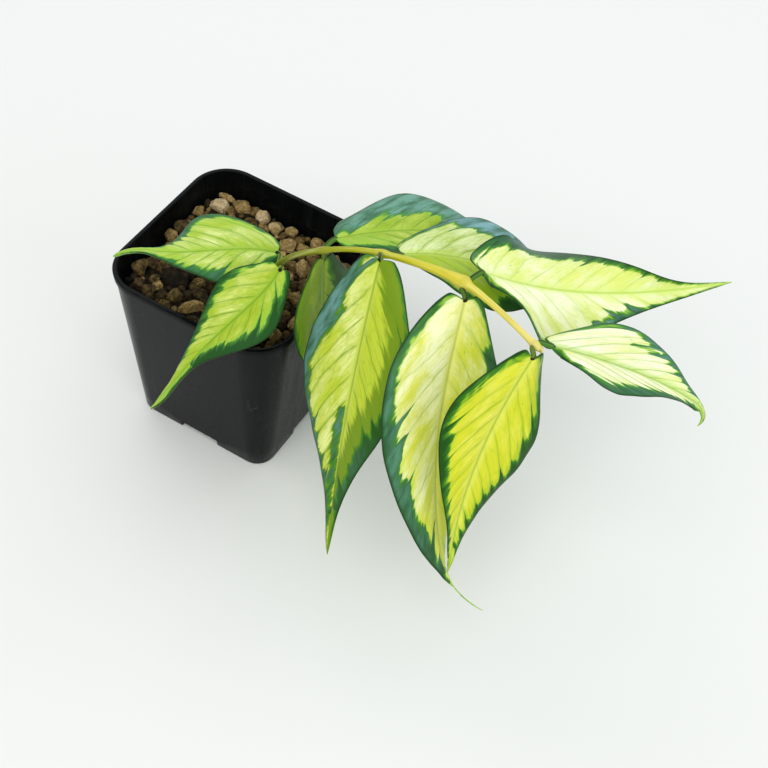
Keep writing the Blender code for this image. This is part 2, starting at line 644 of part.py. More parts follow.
def skin(name, top, bottom, material):
    """A closed solid between two grids of points that are split into triangles alike on both faces."""
    rows, columns = top.shape[:2]
    points = np.concatenate([top.reshape(-1, 3), bottom.reshape(-1, 3)])
    under = rows * columns
    faces = []
    for i in range(rows - 1):
        for j in range(columns - 1):
            a, b = i * columns + j, (i + 1) * columns + j
            faces += [(a, b, b + 1), (a, b + 1, a + 1)]
            faces += [(under + a, under + b + 1, under + b), (under + a, under + a + 1, under + b + 1)]
        for j in (0, columns - 1):
            a, b = i * columns + j, (i + 1) * columns + j
            faces += [(a, under + b, b), (a, under + a, under + b)]
    for i in (0, rows - 1):
        for j in range(columns - 1):
            a = i * columns + j
            faces += [(a, a + 1, under + a + 1), (a, under + a + 1, under + a)]
    return finish(new_object(name, points, faces), material, 40)


def main():
    """Clear the scene and build every piece."""
    for obj in list(bpy.data.objects):
        bpy.data.objects.remove(obj)
    make_pot()
    make_pumice(*hole_cutters())
    make_stem()
    make_stub()
    for leaf in LEAVES:
        make_leaf(leaf, new_material(leaf.name + "_skin", (0.42, 0.62, 0.14), 0.35))


main()
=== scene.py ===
"""A potted hoya in its square nursery pot: the finished look of every piece.

Sizes and places are in millimetres and become metres when a mesh is made. +Z is up, the pot's walls lie along X
and Y, the shoot reaches out along +X, and the origin is the middle of the pot's foot, on the ground.
"""
import logging
import math
import random
from dataclasses import dataclass
from enum import Enum
from typing import Any, Callable, Sequence

import bmesh
import bpy
import numpy as np
from mathutils import Matrix, Vector


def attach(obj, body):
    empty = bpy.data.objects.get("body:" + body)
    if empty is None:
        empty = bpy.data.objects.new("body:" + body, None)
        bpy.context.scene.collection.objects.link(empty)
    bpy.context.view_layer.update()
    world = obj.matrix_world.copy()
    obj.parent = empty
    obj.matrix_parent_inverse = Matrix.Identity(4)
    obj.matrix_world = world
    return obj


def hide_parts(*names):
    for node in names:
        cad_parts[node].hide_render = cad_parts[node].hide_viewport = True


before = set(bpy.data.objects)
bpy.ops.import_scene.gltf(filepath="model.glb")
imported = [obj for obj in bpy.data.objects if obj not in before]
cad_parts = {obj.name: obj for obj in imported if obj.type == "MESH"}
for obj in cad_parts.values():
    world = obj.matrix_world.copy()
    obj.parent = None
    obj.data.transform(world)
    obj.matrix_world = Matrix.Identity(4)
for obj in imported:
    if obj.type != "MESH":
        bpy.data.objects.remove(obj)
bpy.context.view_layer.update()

LOG = logging.getLogger("potted_hoya")
MM = 0.001
Triple = tuple[float, float, float]
Socket = bpy.types.NodeSocket


class Slot(Enum):
    """The record's material slots."""

    POT = "pot_plastic"
    GRAVEL = "pumice_gravel"
    STEM = "green_stem"
    DRY = "dry_stem"
    LEAF = "hoya_leaf"


class Side(Enum):
    """The two halves of a leaf, seen from above with its tip pointing away."""

    LEFT = -1
    RIGHT = 1


# ---------------------------------------------------------------- helpers


def linear(hex_colour: str) -> tuple[float, float, float, float]:
    """Turn an sRGB hex colour into linear red, green, blue and an alpha of one.

    Args:
        hex_colour: six hex digits after a number sign.

    Returns:
        The linear colour.
    """
    parts = [int(hex_colour[i : i + 2], 16) / 255 for i in (1, 3, 5)]
    low = [c / 12.92 if c <= 0.04045 else ((c + 0.055) / 1.055) ** 2.4 for c in parts]
    return (low[0], low[1], low[2], 1.0)


def add_node(tree: bpy.types.NodeTree, kind: str, feeds: dict[Any, Any] | None = None, **settings: Any) -> Any:
    """Add a shader node with its settings, and fill or link its inputs.

    Args:
        tree: the material's node tree.
        kind: the node's type name without the words ShaderNode.
        feeds: input name or number to a value, or to the socket that feeds it.
        settings: the node's own properties.

    Returns:
        The new node.
    """
    node = tree.nodes.new("ShaderNode" + kind)
    for name, value in settings.items():
        setattr(node, name, value)
    for key, value in (feeds or {}).items():
        if isinstance(value, bpy.types.NodeSocket):
            tree.links.new(value, node.inputs[key])
        else:
            node.inputs[key].default_value = value
    return node


def ramp(tree: bpy.types.NodeTree, fac: Socket, stops: Sequence[tuple[float, str]]) -> Socket:
    """A colour that runs through hex colours as fac goes from 0 to 1.

    Args:
        tree: the material's node tree.
        fac: what drives the colour.
        stops: positions and their hex colours, in rising order.

    Returns:
        The colour socket.
    """
    node = add_node(tree, "ValToRGB", {0: fac})
    elements = node.color_ramp.elements
    while len(elements) < len(stops):
        elements.new(0.5)
    for element, (place, colour) in zip(elements, stops):
        element.position = place
        element.color = linear(colour)
    return node.outputs[0]


def between(tree: bpy.types.NodeTree, value: Socket, low: float, high: float) -> Socket:
    """A smooth 0 to 1 as value passes from low to high."""
    feeds = {0: value, 1: low, 2: high, 3: 0.0, 4: 1.0}
    return add_node(tree, "MapRange", feeds, interpolation_type="SMOOTHSTEP").outputs[0]


def blend(tree: bpy.types.NodeTree, fac: Any, first: Any, second: Any) -> Socket:
    """Colour between first and second, which are sockets or hex colours."""
    pair = [linear(c) if isinstance(c, str) else c for c in (first, second)]
    return add_node(tree, "Mix", {0: fac, 6: pair[0], 7: pair[1]}, data_type="RGBA").outputs[2]


def times(tree: bpy.types.NodeTree, first: Any, second: Any, operation: str = "MULTIPLY", third: Any = 0.0) -> Socket:
    """One sum of numbers or sockets."""
    return add_node(tree, "Math", {0: first, 1: second, 2: third}, operation=operation).outputs[0]


def painted(name: str, roughness: float, **sockets: float) -> tuple[bpy.types.Material, bpy.types.NodeTree, Any]:
    """A new material with its Principled shader.

    Args:
        name: what the real material is.
        roughness: the shader's own roughness.
        sockets: further values for the shader, with _ for a space in the socket's name.

    Returns:
        The material, its node tree and the shader.
    """
    material = bpy.data.materials.new(name)
    material.use_nodes = True
    tree = material.node_tree
    shader = tree.nodes["Principled BSDF"]
    shader.inputs["Roughness"].default_value = roughness
    for socket, value in sockets.items():
        shader.inputs[socket.replace("_", " ")].default_value = value
    return material, tree, shader


def grid_quads(rows: int, columns: int, wrap: bool = False) -> np.ndarray:
    """Quads between neighbouring points of a grid; with wrap its last column joins its first.

    Args:
        rows: number of rows of points.
        columns: points in a row.
        wrap: whether each row is a closed ring.

    Returns:
        An array of four point numbers a quad.
    """
    i, j = np.meshgrid(np.arange(rows - 1), np.arange(columns if wrap else columns - 1), indexing="ij")
    k = (j + 1) % columns
    return np.stack([i * columns + j, i * columns + k, (i + 1) * columns + k, (i + 1) * columns + j], -1).reshape(-1, 4)


def mesh_piece(name: str, points: np.ndarray, faces: list, sharp: float | None = None) -> bpy.types.Object:
    """An object at the origin whose faces point outwards.

    Args:
        name: the piece's name.
        points: corners in millimetres.
        faces: lists of point numbers.
        sharp: edges sharper than this many degrees stay sharp.

    Returns:
        The new object.
    """
    mesh = bpy.data.meshes.new(name)
    mesh.from_pydata((points * MM).tolist(), [], faces)
    shape = bmesh.new()
    shape.from_mesh(mesh)
    bmesh.ops.recalc_face_normals(shape, faces=shape.faces)
    shape.to_mesh(mesh)
    shape.free()
    mesh.shade_smooth()
    if sharp is not None:
        mesh.set_sharp_from_angle(angle=math.radians(sharp))
    piece = bpy.data.objects.new(name, mesh)
    bpy.context.scene.collection.objects.link(piece)
    return piece


def rings_piece(name: str, rings: np.ndarray, sharp: float | None = None) -> bpy.types.Object:
    """A closed skin over rings of points, with a flat cap at each end.

    Args:
        name: the piece's name.
        rings: an array of rings, points in a ring, and three coordinates.
        sharp: edges sharper than this many degrees stay sharp.

    Returns:
        The new object.
    """
    rows, columns = rings.shape[:2]
    faces = grid_quads(rows, columns, wrap=True).tolist()
    faces.append(list(range(columns)))
    faces.append(list(range((rows - 1) * columns, rows * columns)))
    return mesh_piece(name, rings.reshape(-1, 3), faces, sharp)


def paint_points(piece: bpy.types.Object, name: str, values: np.ndarray) -> None:
    """Store a number, or three, at each point of a piece for its material to read.

    Args:
        piece: the object.
        name: the attribute's name.
        values: one row for each point.
    """
    kind, field = ("FLOAT", "value") if values.ndim == 1 else ("FLOAT_VECTOR", "vector")
    layer = piece.data.attributes.new(name, kind, "POINT")
    layer.data.foreach_set(field, values.astype(np.float32).ravel())


def install(piece: bpy.types.Object, material: bpy.types.Material, slot: Slot, *nodes: str) -> None:
    """Dress a piece, fix it to the object's body and let it stand for its CAD nodes.

    Args:
        piece: the object.
        material: its finish.
        slot: the record's slot that the finish belongs to.
        nodes: CAD nodes that it replaces.
    """
    piece.data.materials.clear()
    piece.data.materials.append(material)
    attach(piece, "root")
    if nodes:
        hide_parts(*nodes)
    LOG.info("%s: %d points, %s", piece.name, len(piece.data.vertices), slot.value)


def boolean(piece: bpy.types.Object, operation: str, cutters: list[bpy.types.Object]) -> None:
    """Join cutters to a piece or cut them out of it, and remove them.

    Args:
        piece: the object that changes.
        operation: UNION or DIFFERENCE.
        cutters: the other solids.
    """
    group = bpy.data.collections.new("cutters")
    for cutter in cutters:
        group.objects.link(cutter)
    modifier = piece.modifiers.new(operation.lower(), "BOOLEAN")
    modifier.operand_type = "COLLECTION"
    modifier.collection = group
    modifier.operation = operation
    modifier.solver = "EXACT"
    bpy.context.view_layer.update()
    result = bpy.data.meshes.new_from_object(piece.evaluated_get(bpy.context.evaluated_depsgraph_get()))
    piece.modifiers.remove(modifier)
    piece.data = result
    for cutter in cutters:
        bpy.data.objects.remove(cutter)
    bpy.data.collections.remove(group)


def smooth_curve(points: Sequence[Triple], step: float) -> np.ndarray:
    """A curve through all points: between two of them a cubic whose ends head along their outer neighbours.

    Args:
        points: the points to pass through.
        step: rough distance between the curve's own points.

    Returns:
        The curve's points.
    """
    given = [np.array(p, float) for p in points]
    ends = [given[0] * 2 - given[1], *given, given[-1] * 2 - given[-2]]
    runs = []
    for a, b, c, d in zip(ends, ends[1:], ends[2:], ends[3:]):
        t = np.linspace(0.0, 1.0, max(2, round(float(np.linalg.norm(c - b)) / step)), endpoint=False)[:, None]
        runs.append(0.5 * (2 * b + (c - a) * t + (2 * a - 5 * b + 4 * c - d) * t**2 + (3 * b - a - 3 * c + d) * t**3))
    return np.concatenate([*runs, given[-1][None]])


def directions(path: np.ndarray) -> np.ndarray:
    """Unit directions along a path."""
    heading = np.gradient(path, axis=0)
    return heading / np.linalg.norm(heading, axis=1, keepdims=True)


def tube_rings(path: np.ndarray, radii: np.ndarray, sides: int, out: Callable | None = None) -> np.ndarray:
    """Rings round a path that don't twist: each point is the path plus its radius times a unit circle across it.

    Args:
        path: the middle line.
        radii: a radius at each of its points.
        sides: points in a ring.
        out: gives factors for the radius from the ring numbers and the angles.

    Returns:
        The rings.
    """
    along = directions(path)
    side = np.cross(along, (0.0, 1.0, 0.0))
    side /= np.linalg.norm(side, axis=1, keepdims=True)
    other = np.cross(along, side)
    angles = np.linspace(0, 2 * math.pi, sides, endpoint=False)
    reach = radii[:, None] * np.ones(sides)
    if out is not None:
        reach = reach * out(np.arange(len(path))[:, None], angles[None, :])
    circle = np.cos(angles)[None, :, None] * side[:, None] + np.sin(angles)[None, :, None] * other[:, None]
    return path[:, None] + reach[..., None] * circle


def wander(values: np.ndarray, seed: int, pace: float) -> np.ndarray:
    """A smooth random line between -1 and 1: four sine waves of unlike lengths and starts, added up.

    Args:
        values: places along the line.
        seed: which line.
        pace: rough length of its waves.

    Returns:
        Its height at each place.
    """
    draw = np.random.default_rng(seed)
    lengths = pace * draw.uniform(0.6, 2.2, 4)
    starts = draw.uniform(0, 2 * math.pi, 4)
    return sum(np.sin(2 * math.pi * values / a + b) for a, b in zip(lengths, starts)) / 4


# ---------------------------------------------------------------- pot


@dataclass(frozen=True)
class MouldedPolypropylene:
    """Black injection-moulded polypropylene: charcoal, a soft even gloss, faint flow lines, scuffs and dust."""

    base: str = "#07090a"
    worn: str = "#1c2122"
    dust: str = "#77776c"
    grain_mm: float = 0.45
    streak_mm: float = 5.0

    def material(self) -> bpy.types.Material:
        """Build the finish.

        Returns:
            The material.
        """
        material, tree, shader = painted("black_moulded_polypropylene", 0.40, Specular_IOR_Level=0.08)
        place = add_node(tree, "TexCoord").outputs["Object"]
        # flow lines run up the wall, so the pattern is stretched along Z
        tall = add_node(tree, "Mapping", {0: place, 3: (1.0, 1.0, 0.12)}).outputs[0]
        streak = add_node(tree, "TexNoise", {"Vector": tall, "Scale": 1 / (self.streak_mm * MM), "Detail": 4.0})
        blotch = add_node(tree, "TexNoise", {"Vector": place, "Scale": 60.0, "Detail": 6.0, "Roughness": 0.65})
        tone = between(tree, streak.outputs[0], 0.42, 0.72)
        colour = blend(tree, times(tree, tone, 0.35), self.base, self.worn)
        # dust lies low on the walls
        height = add_node(tree, "SeparateXYZ", {0: place}).outputs[2]
        low = between(tree, height, 0.030, 0.0)
        specks = between(tree, blotch.outputs[0], 0.55, 0.75)
        colour = blend(tree, times(tree, times(tree, low, specks), 0.05), colour, self.dust)
        # hair scratches: thin bands where a stretched wave crosses its middle
        turned = add_node(tree, "Mapping", {0: place, 2: (0.3, 0.5, 0.4), 3: (1.0, 1.0, 0.3)}).outputs[0]
        scratch = add_node(tree, "TexNoise", {"Vector": turned, "Scale": 95.0, "Detail": 2.0, "Distortion": 0.6})
        thin = times(tree, scratch.outputs[0], 0.5, "SUBTRACT")
        thin = between(tree, times(tree, thin, 0.0, "ABSOLUTE"), 0.006, 0.0)
        picked = times(tree, thin, between(tree, blotch.outputs[0], 0.5, 0.68))
        colour = blend(tree, times(tree, picked, 0.16), colour, self.dust)
        tree.links.new(colour, shader.inputs["Base Color"])
        rough = add_node(tree, "MapRange", {0: streak.outputs[0], 1: 0.3, 2: 0.7, 3: 0.20, 4: 0.34}).outputs[0]
        tree.links.new(rough, shader.inputs["Roughness"])
        grain = add_node(tree, "TexNoise", {"Vector": place, "Scale": 1 / (self.grain_mm * MM), "Detail": 3.0})
        relief = times(tree, grain.outputs[0], streak.outputs[0], "ADD")
        bump = add_node(tree, "Bump", {"Strength": 0.10, "Distance": 0.0004, "Height": relief})
        tree.links.new(bump.outputs[0], shader.inputs["Normal"])
        return material


@dataclass(frozen=True)
class NurseryPot:
    """A square, tapered, thin-walled nursery pot with a rim band, four feet and a drain in each base recess."""

    top: float = 70.0
    foot: float = 56.0
    height: float = 72.0
    wall: float = 1.1
    lip: float = 0.6
    band: float = 3.0
    top_corner: float = 13.5
    foot_corner: float = 7.0
    floor: float = 1.5
    fillet: float = 2.0
    recess: Triple = (16.0, 13.0, 3.0)
    drain_radius: float = 2.5
    drain_from_edge: float = 7.5
    corner_steps: int = 18

    def half(self, z: np.ndarray | float) -> Any:
        """Half width of the outer wall at height z: straight from the foot to just under the rim band."""
        return self.foot / 2 + (self.top / 2 - self.lip - self.foot / 2) * z / self.height

    def corner(self, z: np.ndarray | float) -> Any:
        """Corner radius of the outer wall at height z."""
        return self.foot_corner + (self.top_corner - self.foot_corner) * z / self.height

    def ring(self, z: float, inset: float) -> np.ndarray:
        """A rounded square at height z, moved inwards: quarter circles round four corner middles.

        Args:
            z: height.
            inset: distance inside the outer wall.

        Returns:
            The ring's points.
        """
        half, corner = self.half(z) - inset, self.corner(z) - inset
        quarter = np.repeat(np.arange(4), self.corner_steps + 1)
        angle = (quarter + np.tile(np.linspace(0, 1, self.corner_steps + 1), 4)) * math.pi / 2
        middle = half - corner
        x = middle * np.where((quarter == 0) | (quarter == 3), 1, -1) + corner * np.cos(angle)
        y = middle * np.where(quarter < 2, 1, -1) + corner * np.sin(angle)
        return np.stack([x, y, np.full(len(x), z)], 1)

    def box(self, low: Triple, high: Triple) -> bpy.types.Object:
        """A closed box between two corners."""
        x, y = [low[0], high[0], high[0], low[0]], [low[1], low[1], high[1], high[1]]
        return rings_piece("box", np.array([np.stack([x, y, [z] * 4], 1) for z in (low[2], high[2])]))

    def recess_boxes(self, grow: float, low: float, top: float, past: float) -> list[bpy.types.Object]:
        """A box at the middle of each base edge.

        Args:
            grow: added to the recess on all sides.
            low: the boxes' bottom.
            top: the boxes' top.
            past: how far they reach outside the base edge.

        Returns:
            The four boxes.
        """
        half, outer = self.recess[0] / 2 + grow, self.foot / 2 + past
        inner = self.foot / 2 - self.recess[1] - grow
        spans = (
            (inner, -half, outer, half),
            (-outer, -half, -inner, half),
            (-half, inner, half, outer),
            (-half, -outer, half, -inner),
        )
        return [self.box((a, b, low), (c, d, top)) for a, b, c, d in spans]

    def profile(self) -> list[tuple[float, float]]:
        """Heights and insets up the outside, over the rounded rim and down the inside to the floor."""
        band = self.height - self.band
        turn = np.linspace(0, math.pi / 2, 5)
        foot_round, rim_round, inner_round = 0.5, 0.4, 0.3
        outside = [(foot_round * (1 - math.sin(a)), foot_round * (1 - math.cos(a))) for a in turn[::-1]]
        lip = [(band - 0.1, 0.0), (band + 0.15, -self.lip * 0.6), (band + 0.4, -self.lip)]
        top = [(self.height - rim_round * (1 - math.sin(a)), -self.lip + rim_round * (1 - math.cos(a))) for a in turn]
        over = [
            (self.height - inner_round * (1 - math.cos(a)), self.wall - inner_round * (1 - math.sin(a))) for a in turn
        ]
        down = [
            (self.floor + self.fillet * (1 - math.sin(a)), self.wall + self.fillet * (1 - math.cos(a)))
            for a in turn
        ]
        steps = [(z, 0.0) for z in (8.0, 20.0, 36.0, 52.0)]
        inner_steps = [(z, self.wall) for z in (52.0, 30.0, 12.0)]
        return [*outside[::-1][:1], *outside[1:], *steps, *lip, *top, *over, *inner_steps, *down]

    def build(self) -> bpy.types.Object:
        """The whole pot as one piece.

        Returns:
            The pot.
        """
        stations = [(0.0, 0.5), (0.15, 0.15), (0.5, 0.0), (8.0, 0.0), (20.0, 0.0), (36.0, 0.0), (52.0, 0.0)]
        band, top = self.height - self.band, self.height
        stations += [(band - 0.1, 0.0), (band + 0.1, -self.lip * 0.55), (band + 0.4, -self.lip)]
        stations += [(top - 0.4, -self.lip), (top - 0.12, -self.lip + 0.12), (top, -self.lip + 0.4)]
        stations += [(top, self.wall - 0.3), (top - 0.09, self.wall - 0.09), (top - 0.3, self.wall)]
        stations += [(52.0, self.wall), (30.0, self.wall), (12.0, self.wall), (self.floor + self.fillet, self.wall)]
        stations += [(self.floor + 0.6, self.wall + 0.6), (self.floor, self.wall + self.fillet)]
        pot = rings_piece("pot_shell", np.array([self.ring(z, inset) for z, inset in stations]))
        lift = self.recess[2]
        boolean(pot, "UNION", self.recess_boxes(self.floor, self.floor / 2, lift + self.floor, -self.wall / 3))
        boolean(pot, "DIFFERENCE", self.recess_boxes(0.0, -10.0, lift, 10.0))
        drain = self.foot / 2 - self.drain_from_edge
        angles = np.linspace(0, 2 * math.pi, 24, endpoint=False)
        circle = self.drain_radius * np.stack([np.cos(angles), np.sin(angles)], 1)
        drains = []
        for x, y in ((drain, 0.0), (-drain, 0.0), (0.0, drain), (0.0, -drain)):
            levels = [np.c_[circle + (x, y), np.full(24, z)] for z in (lift / 2, lift + self.floor * 2)]
            drains.append(rings_piece("drain", np.array(levels)))
        boolean(pot, "DIFFERENCE", drains)
        pot.data.shade_smooth()
        pot.data.set_sharp_from_angle(angle=math.radians(35))
        return pot

    def install(self) -> None:
        """Build and dress the pot."""
        install(self.build(), MouldedPolypropylene().material(), Slot.POT, "pot")


# ---------------------------------------------------------------- gravel


@dataclass(frozen=True)
class Grain:
    """One pumice grain: its middle, its three half sizes, its turn about Z in degrees and its paleness, which in some
    grains also carries painted shade.
    """

    place: Triple
    half_sizes: Triple
    turn: float
    tone: float


# grains near the front-left wall have low tones, partly their own dark colour and partly painted shade under the front
# wall and the first leaf
LANDMARK_GRAINS = (
    Grain((-26.8, 23.5, 61.4), (3.4, 3.1, 3.0), 28, 0.95),
    Grain((-27.4, 29.2, 61.0), (3.6, 1.6, 1.6), 5, 0.62),
    Grain((-19.4, 28.6, 60.2), (3.9, 2.8, 2.5), -3, 0.55),
    Grain((-10.8, 29.4, 60.0), (2.3, 3.1, 2.8), 15, 0.88),
    Grain((-4.3, 27.5, 59.4), (3.0, 2.6, 2.3), 60, 0.66),
    Grain((1.5, 29.1, 58.9), (2.8, 2.3, 2.2), 0, 0.60),
    Grain((3.7, 23.3, 59.2), (3.1, 2.8, 2.6), 40, 0.62),
    Grain((12.2, 29.4, 58.4), (2.8, 2.6, 2.8), 70, 0.58),
    Grain((8.9, 25.4, 58.4), (2.4, 2.1, 2.1), 20, 0.55),
    Grain((-30.2, 6.2, 62.9), (2.7, 2.6, 2.6), 50, 0.30),
    Grain((-30.0, 0.4, 62.8), (2.7, 2.5, 2.5), 10, 0.52),
    Grain((-30.0, 16.0, 63.0), (2.2, 2.1, 2.1), 35, 0.55),
    Grain((-29.8, -18.2, 63.4), (3.0, 2.7, 2.6), 75, 0.48),
    Grain((-28.0, -13.6, 62.8), (2.6, 2.3, 2.3), 25, 0.36),
    Grain((-17.6, -13.2, 61.3), (4.7, 4.0, 3.0), 10, 0.10),
    Grain((-6.9, -7.9, 60.0), (3.1, 2.6, 2.3), 55, 0.30),
    Grain((-8.1, -13.5, 60.0), (2.6, 2.5, 2.2), 0, 0.34),
    Grain((-13.4, -20.0, 60.6), (3.3, 2.4, 2.3), 65, 0.52),
    Grain((-22.0, -23.4, 61.6), (2.2, 2.1, 2.0), 30, 0.42),
    Grain((-26.2, -24.0, 62.0), (2.2, 2.3, 2.1), 80, 0.40),
    Grain((-17.2, -22.4, 60.8), (2.0, 2.3, 2.0), 45, 0.35),
    Grain((-7.2, -20.8, 59.8), (4.6, 2.3, 2.2), 42, 0.70),
)


@dataclass(frozen=True)
class Pumice:
    """Washed pumice and pozzolan: dull, tan to dark brown; its pores are drawn coarse enough to show, and darkened as
    painted shade.
    """

    stops: tuple = ((0.0, "#150f06"), (0.25, "#3a2d16"), (0.5, "#776236"), (0.75, "#b2955c"), (1.0, "#dcc596"))
    pore_mm: float = 0.95
    stain_mm: float = 1.8

    def material(self) -> bpy.types.Material:
        """Build the finish.

        Returns:
            The material.
        """
        material, tree, shader = painted("washed_pumice", 0.92, Specular_IOR_Level=0.25)
        place = add_node(tree, "TexCoord").outputs["Object"]
        tone = add_node(tree, "Attribute", attribute_name="tone").outputs["Fac"]
        stain = add_node(tree, "TexNoise", {"Vector": place, "Scale": 1 / (self.stain_mm * MM), "Detail": 5.0})
        pores = add_node(tree, "TexVoronoi", {"Vector": place, "Scale": 1 / (self.pore_mm * MM)})
        fine = add_node(tree, "TexNoise", {"Vector": place, "Scale": 1 / (0.3 * MM), "Detail": 3.0})
        drift = times(tree, times(tree, stain.outputs[0], 0.5, "SUBTRACT"), 0.9)
        speck = times(tree, times(tree, fine.outputs[0], 0.5, "SUBTRACT"), 0.30)
        mixed = times(tree, times(tree, tone, drift, "ADD"), speck, "ADD")
        colour = ramp(tree, mixed, self.stops)
        # pores darkened towards dark brown: painted shade in the pits
        painted_pore_shade = between(tree, pores.outputs["Distance"], 0.36, 0.14)
        colour = blend(tree, times(tree, painted_pore_shade, 0.5), colour, "#2b2012")
        tree.links.new(colour, shader.inputs["Base Color"])
        deep = times(tree, pores.outputs["Distance"], fine.outputs[0], "ADD")
        bump = add_node(tree, "Bump", {"Strength": 0.9, "Distance": 0.0006, "Height": deep})
        tree.links.new(bump.outputs[0], shader.inputs["Normal"])
        return material


@dataclass(frozen=True)
class PumiceBed:
    """The gravel: a filling painted near black as the shade between loose-looking grains, heaped up towards -X."""

    pot: NurseryPot
    middle: float = 58.3
    slope: float = -0.11
    clear: float = 1.4
    seed: int = 12
    tries: int = 1600
    radius: tuple[float, float] = (1.9, 3.6)
    spread: float = 0.55
    spacing: float = 0.76
    rise: tuple[float, float] = (-0.3, 0.45)
    aspect: tuple[float, float] = (0.76, 1.24)
    to_wall: float = 0.7
    landmark_draws: int = 15
    # tone added per millimetre of y: grains towards -Y are darker as painted shade from the front wall and the leaves
    drift: float = 0.005
    small_radius: tuple[float, float] = (0.9, 1.7)
    small_tries: int = 2600

    def level(self, x: np.ndarray | float) -> Any:
        """Height of the filling's own top at x: a plane that falls towards +X."""
        return self.middle + self.slope * x

    def inside(self, x: float, y: float, z: float, margin: float) -> bool:
        """Whether a point is at least margin inside the pot's inner wall."""
        half = self.pot.half(z) - self.pot.wall - margin
        corner = self.pot.corner(z) - self.pot.wall - margin
        dx, dy = max(0.0, abs(x) - (half - corner)), max(0.0, abs(y) - (half - corner))
        return abs(x) < half and abs(y) < half and math.hypot(dx, dy) < corner

    def scatter(self) -> list[Grain]:
        """Grains thrown over the top, large ones first, each kept a little apart from those before.

        Returns:
            The landmark grains, the scattered ones and the small ones between them.
        """
        draw = random.Random(self.seed)
        for _ in range(self.landmark_draws * len(LANDMARK_GRAINS)):
            draw.random()
        tones = random.Random(self.seed + 1)
        kept = [(g.place, max(g.half_sizes[:2])) for g in LANDMARK_GRAINS]
        grains = list(LANDMARK_GRAINS)
        reach = self.pot.top / 2
        for attempt in range(self.tries):
            largest = self.radius[1] - (self.radius[1] - self.radius[0]) * attempt / self.tries
            radius = max(self.radius[0], largest * draw.uniform(self.spread, 1.0))
            x, y = draw.uniform(-reach, reach), draw.uniform(-reach, reach)
            z = self.level(x) + radius * draw.uniform(*self.rise)
            if not self.inside(x, y, z, radius * self.to_wall):
                continue
            if any(math.hypot(x - p[0], y - p[1]) < (radius + r) * self.spacing for p, r in kept):
                continue
            kept.append(((x, y, z), radius))
            sizes = [radius * draw.uniform(*self.aspect) for _ in range(3)]
            grains.append(Grain((x, y, z), tuple(sizes), draw.uniform(0, 360), tones.uniform(0.15, 0.75)))
        for _ in range(self.small_tries):
            radius = draw.uniform(*self.small_radius)
            x, y = draw.uniform(-reach, reach), draw.uniform(-reach, reach)
            z = self.level(x) + radius * draw.uniform(0.2, 0.9)
            if not self.inside(x, y, z, radius + 0.4):
                continue
            if any(math.hypot(x - p[0], y - p[1]) < radius * 0.75 + r * 0.8 for p, r in kept):
                continue
            kept.append(((x, y, z), radius))
            sizes = [radius * draw.uniform(*self.aspect) for _ in range(3)]
            grains.append(Grain((x, y, z), tuple(sizes), draw.uniform(0, 360), tones.uniform(0.05, 0.6)))
        return grains

    def ball(self, cuts: int) -> tuple[np.ndarray, np.ndarray]:
        """A unit sphere of triangles.

        Args:
            cuts: how often its faces are divided.

        Returns:
            Its points and its faces.
        """
        shape = bmesh.new()
        bmesh.ops.create_icosphere(shape, subdivisions=cuts, radius=1.0)
        points = np.array([v.co for v in shape.verts])
        faces = np.array([[v.index for v in f.verts] for f in shape.faces])
        shape.free()
        return points, faces

    def pebble(self, ball: np.ndarray, grain: Grain, seed: int) -> np.ndarray:
        """A broken, slightly worn grain.

        A sphere is pushed in by random flat planes (a point that lies past a plane moves back onto it), swelled
        by slow and quick waves, roughened, stretched to the half sizes and turned.

        Args:
            ball: points of a unit sphere.
            grain: sizes and place.
            seed: which pebble.

        Returns:
            The grain's points.
        """
        draw = np.random.default_rng(seed)
        points = ball.copy()
        for _ in range(12):
            normal = draw.normal(size=3)
            normal /= np.linalg.norm(normal)
            over = np.maximum(0.0, points @ normal - draw.uniform(0.60, 0.88))
            points = points - over[:, None] * normal
        for pace, height in ((3.2, 0.045), (3.6, 0.045), (8.0, 0.022), (9.0, 0.022), (17.0, 0.010), (19.0, 0.010)):
            wave = draw.normal(size=3) * pace
            points = points * (1 + height * np.sin(ball @ wave + draw.uniform(0, 6))[:, None])
        points = points * draw.uniform(0.988, 1.012, len(points))[:, None]
        points = points * 1.16 * np.array(grain.half_sizes)
        tilt = Matrix.Rotation(draw.uniform(-0.35, 0.35), 3, "X") @ Matrix.Rotation(draw.uniform(-0.35, 0.35), 3, "Y")
        spin = Matrix.Rotation(math.radians(grain.turn), 3, "Z") @ tilt
        return points @ np.array(spin).T + grain.place

    def hold_in(self, points: np.ndarray) -> np.ndarray:
        """Move points that would pass the pot's inner wall back inside it.

        Args:
            points: any points.

        Returns:
            The same points, each at least the clearance from the wall.
        """
        half = self.pot.half(points[:, 2]) - self.clear
        corner = self.pot.corner(points[:, 2]) - self.clear
        sign, size = np.sign(points[:, :2]), np.abs(points[:, :2])
        size = np.minimum(size, half[:, None])
        middle = (half - corner)[:, None]
        past = np.maximum(size - middle, 0.0)
        length = np.linalg.norm(past, axis=1, keepdims=True)
        scale = np.minimum(1.0, corner[:, None] / np.maximum(length, 1e-9))
        size = np.where(past > 0, middle + past * scale, size)
        return np.c_[sign * size, points[:, 2]]

    def filling(self) -> tuple[np.ndarray, list]:
        """The filling under the grains: rings up to its sloping top, with a cap at each end.

        Returns:
            Points and faces.
        """
        rings = []
        for z, inset in ((1.8, self.clear + 2.2), (5.2, self.clear), (30.0, self.clear)):
            rings.append(self.pot.ring(z, inset))
        for drop, inset in ((1.5, self.clear), (0.4, self.clear + 0.4), (0.0, self.clear + 1.5)):
            ring = self.pot.ring(self.middle, inset)
            rings.append(np.c_[ring[:, :2], self.level(ring[:, 0]) - drop])
        count = len(rings[0])
        faces = grid_quads(len(rings), count, wrap=True).tolist()
        faces += [list(range(count)), list(range((len(rings) - 1) * count, len(rings) * count))]
        return np.concatenate(rings), faces

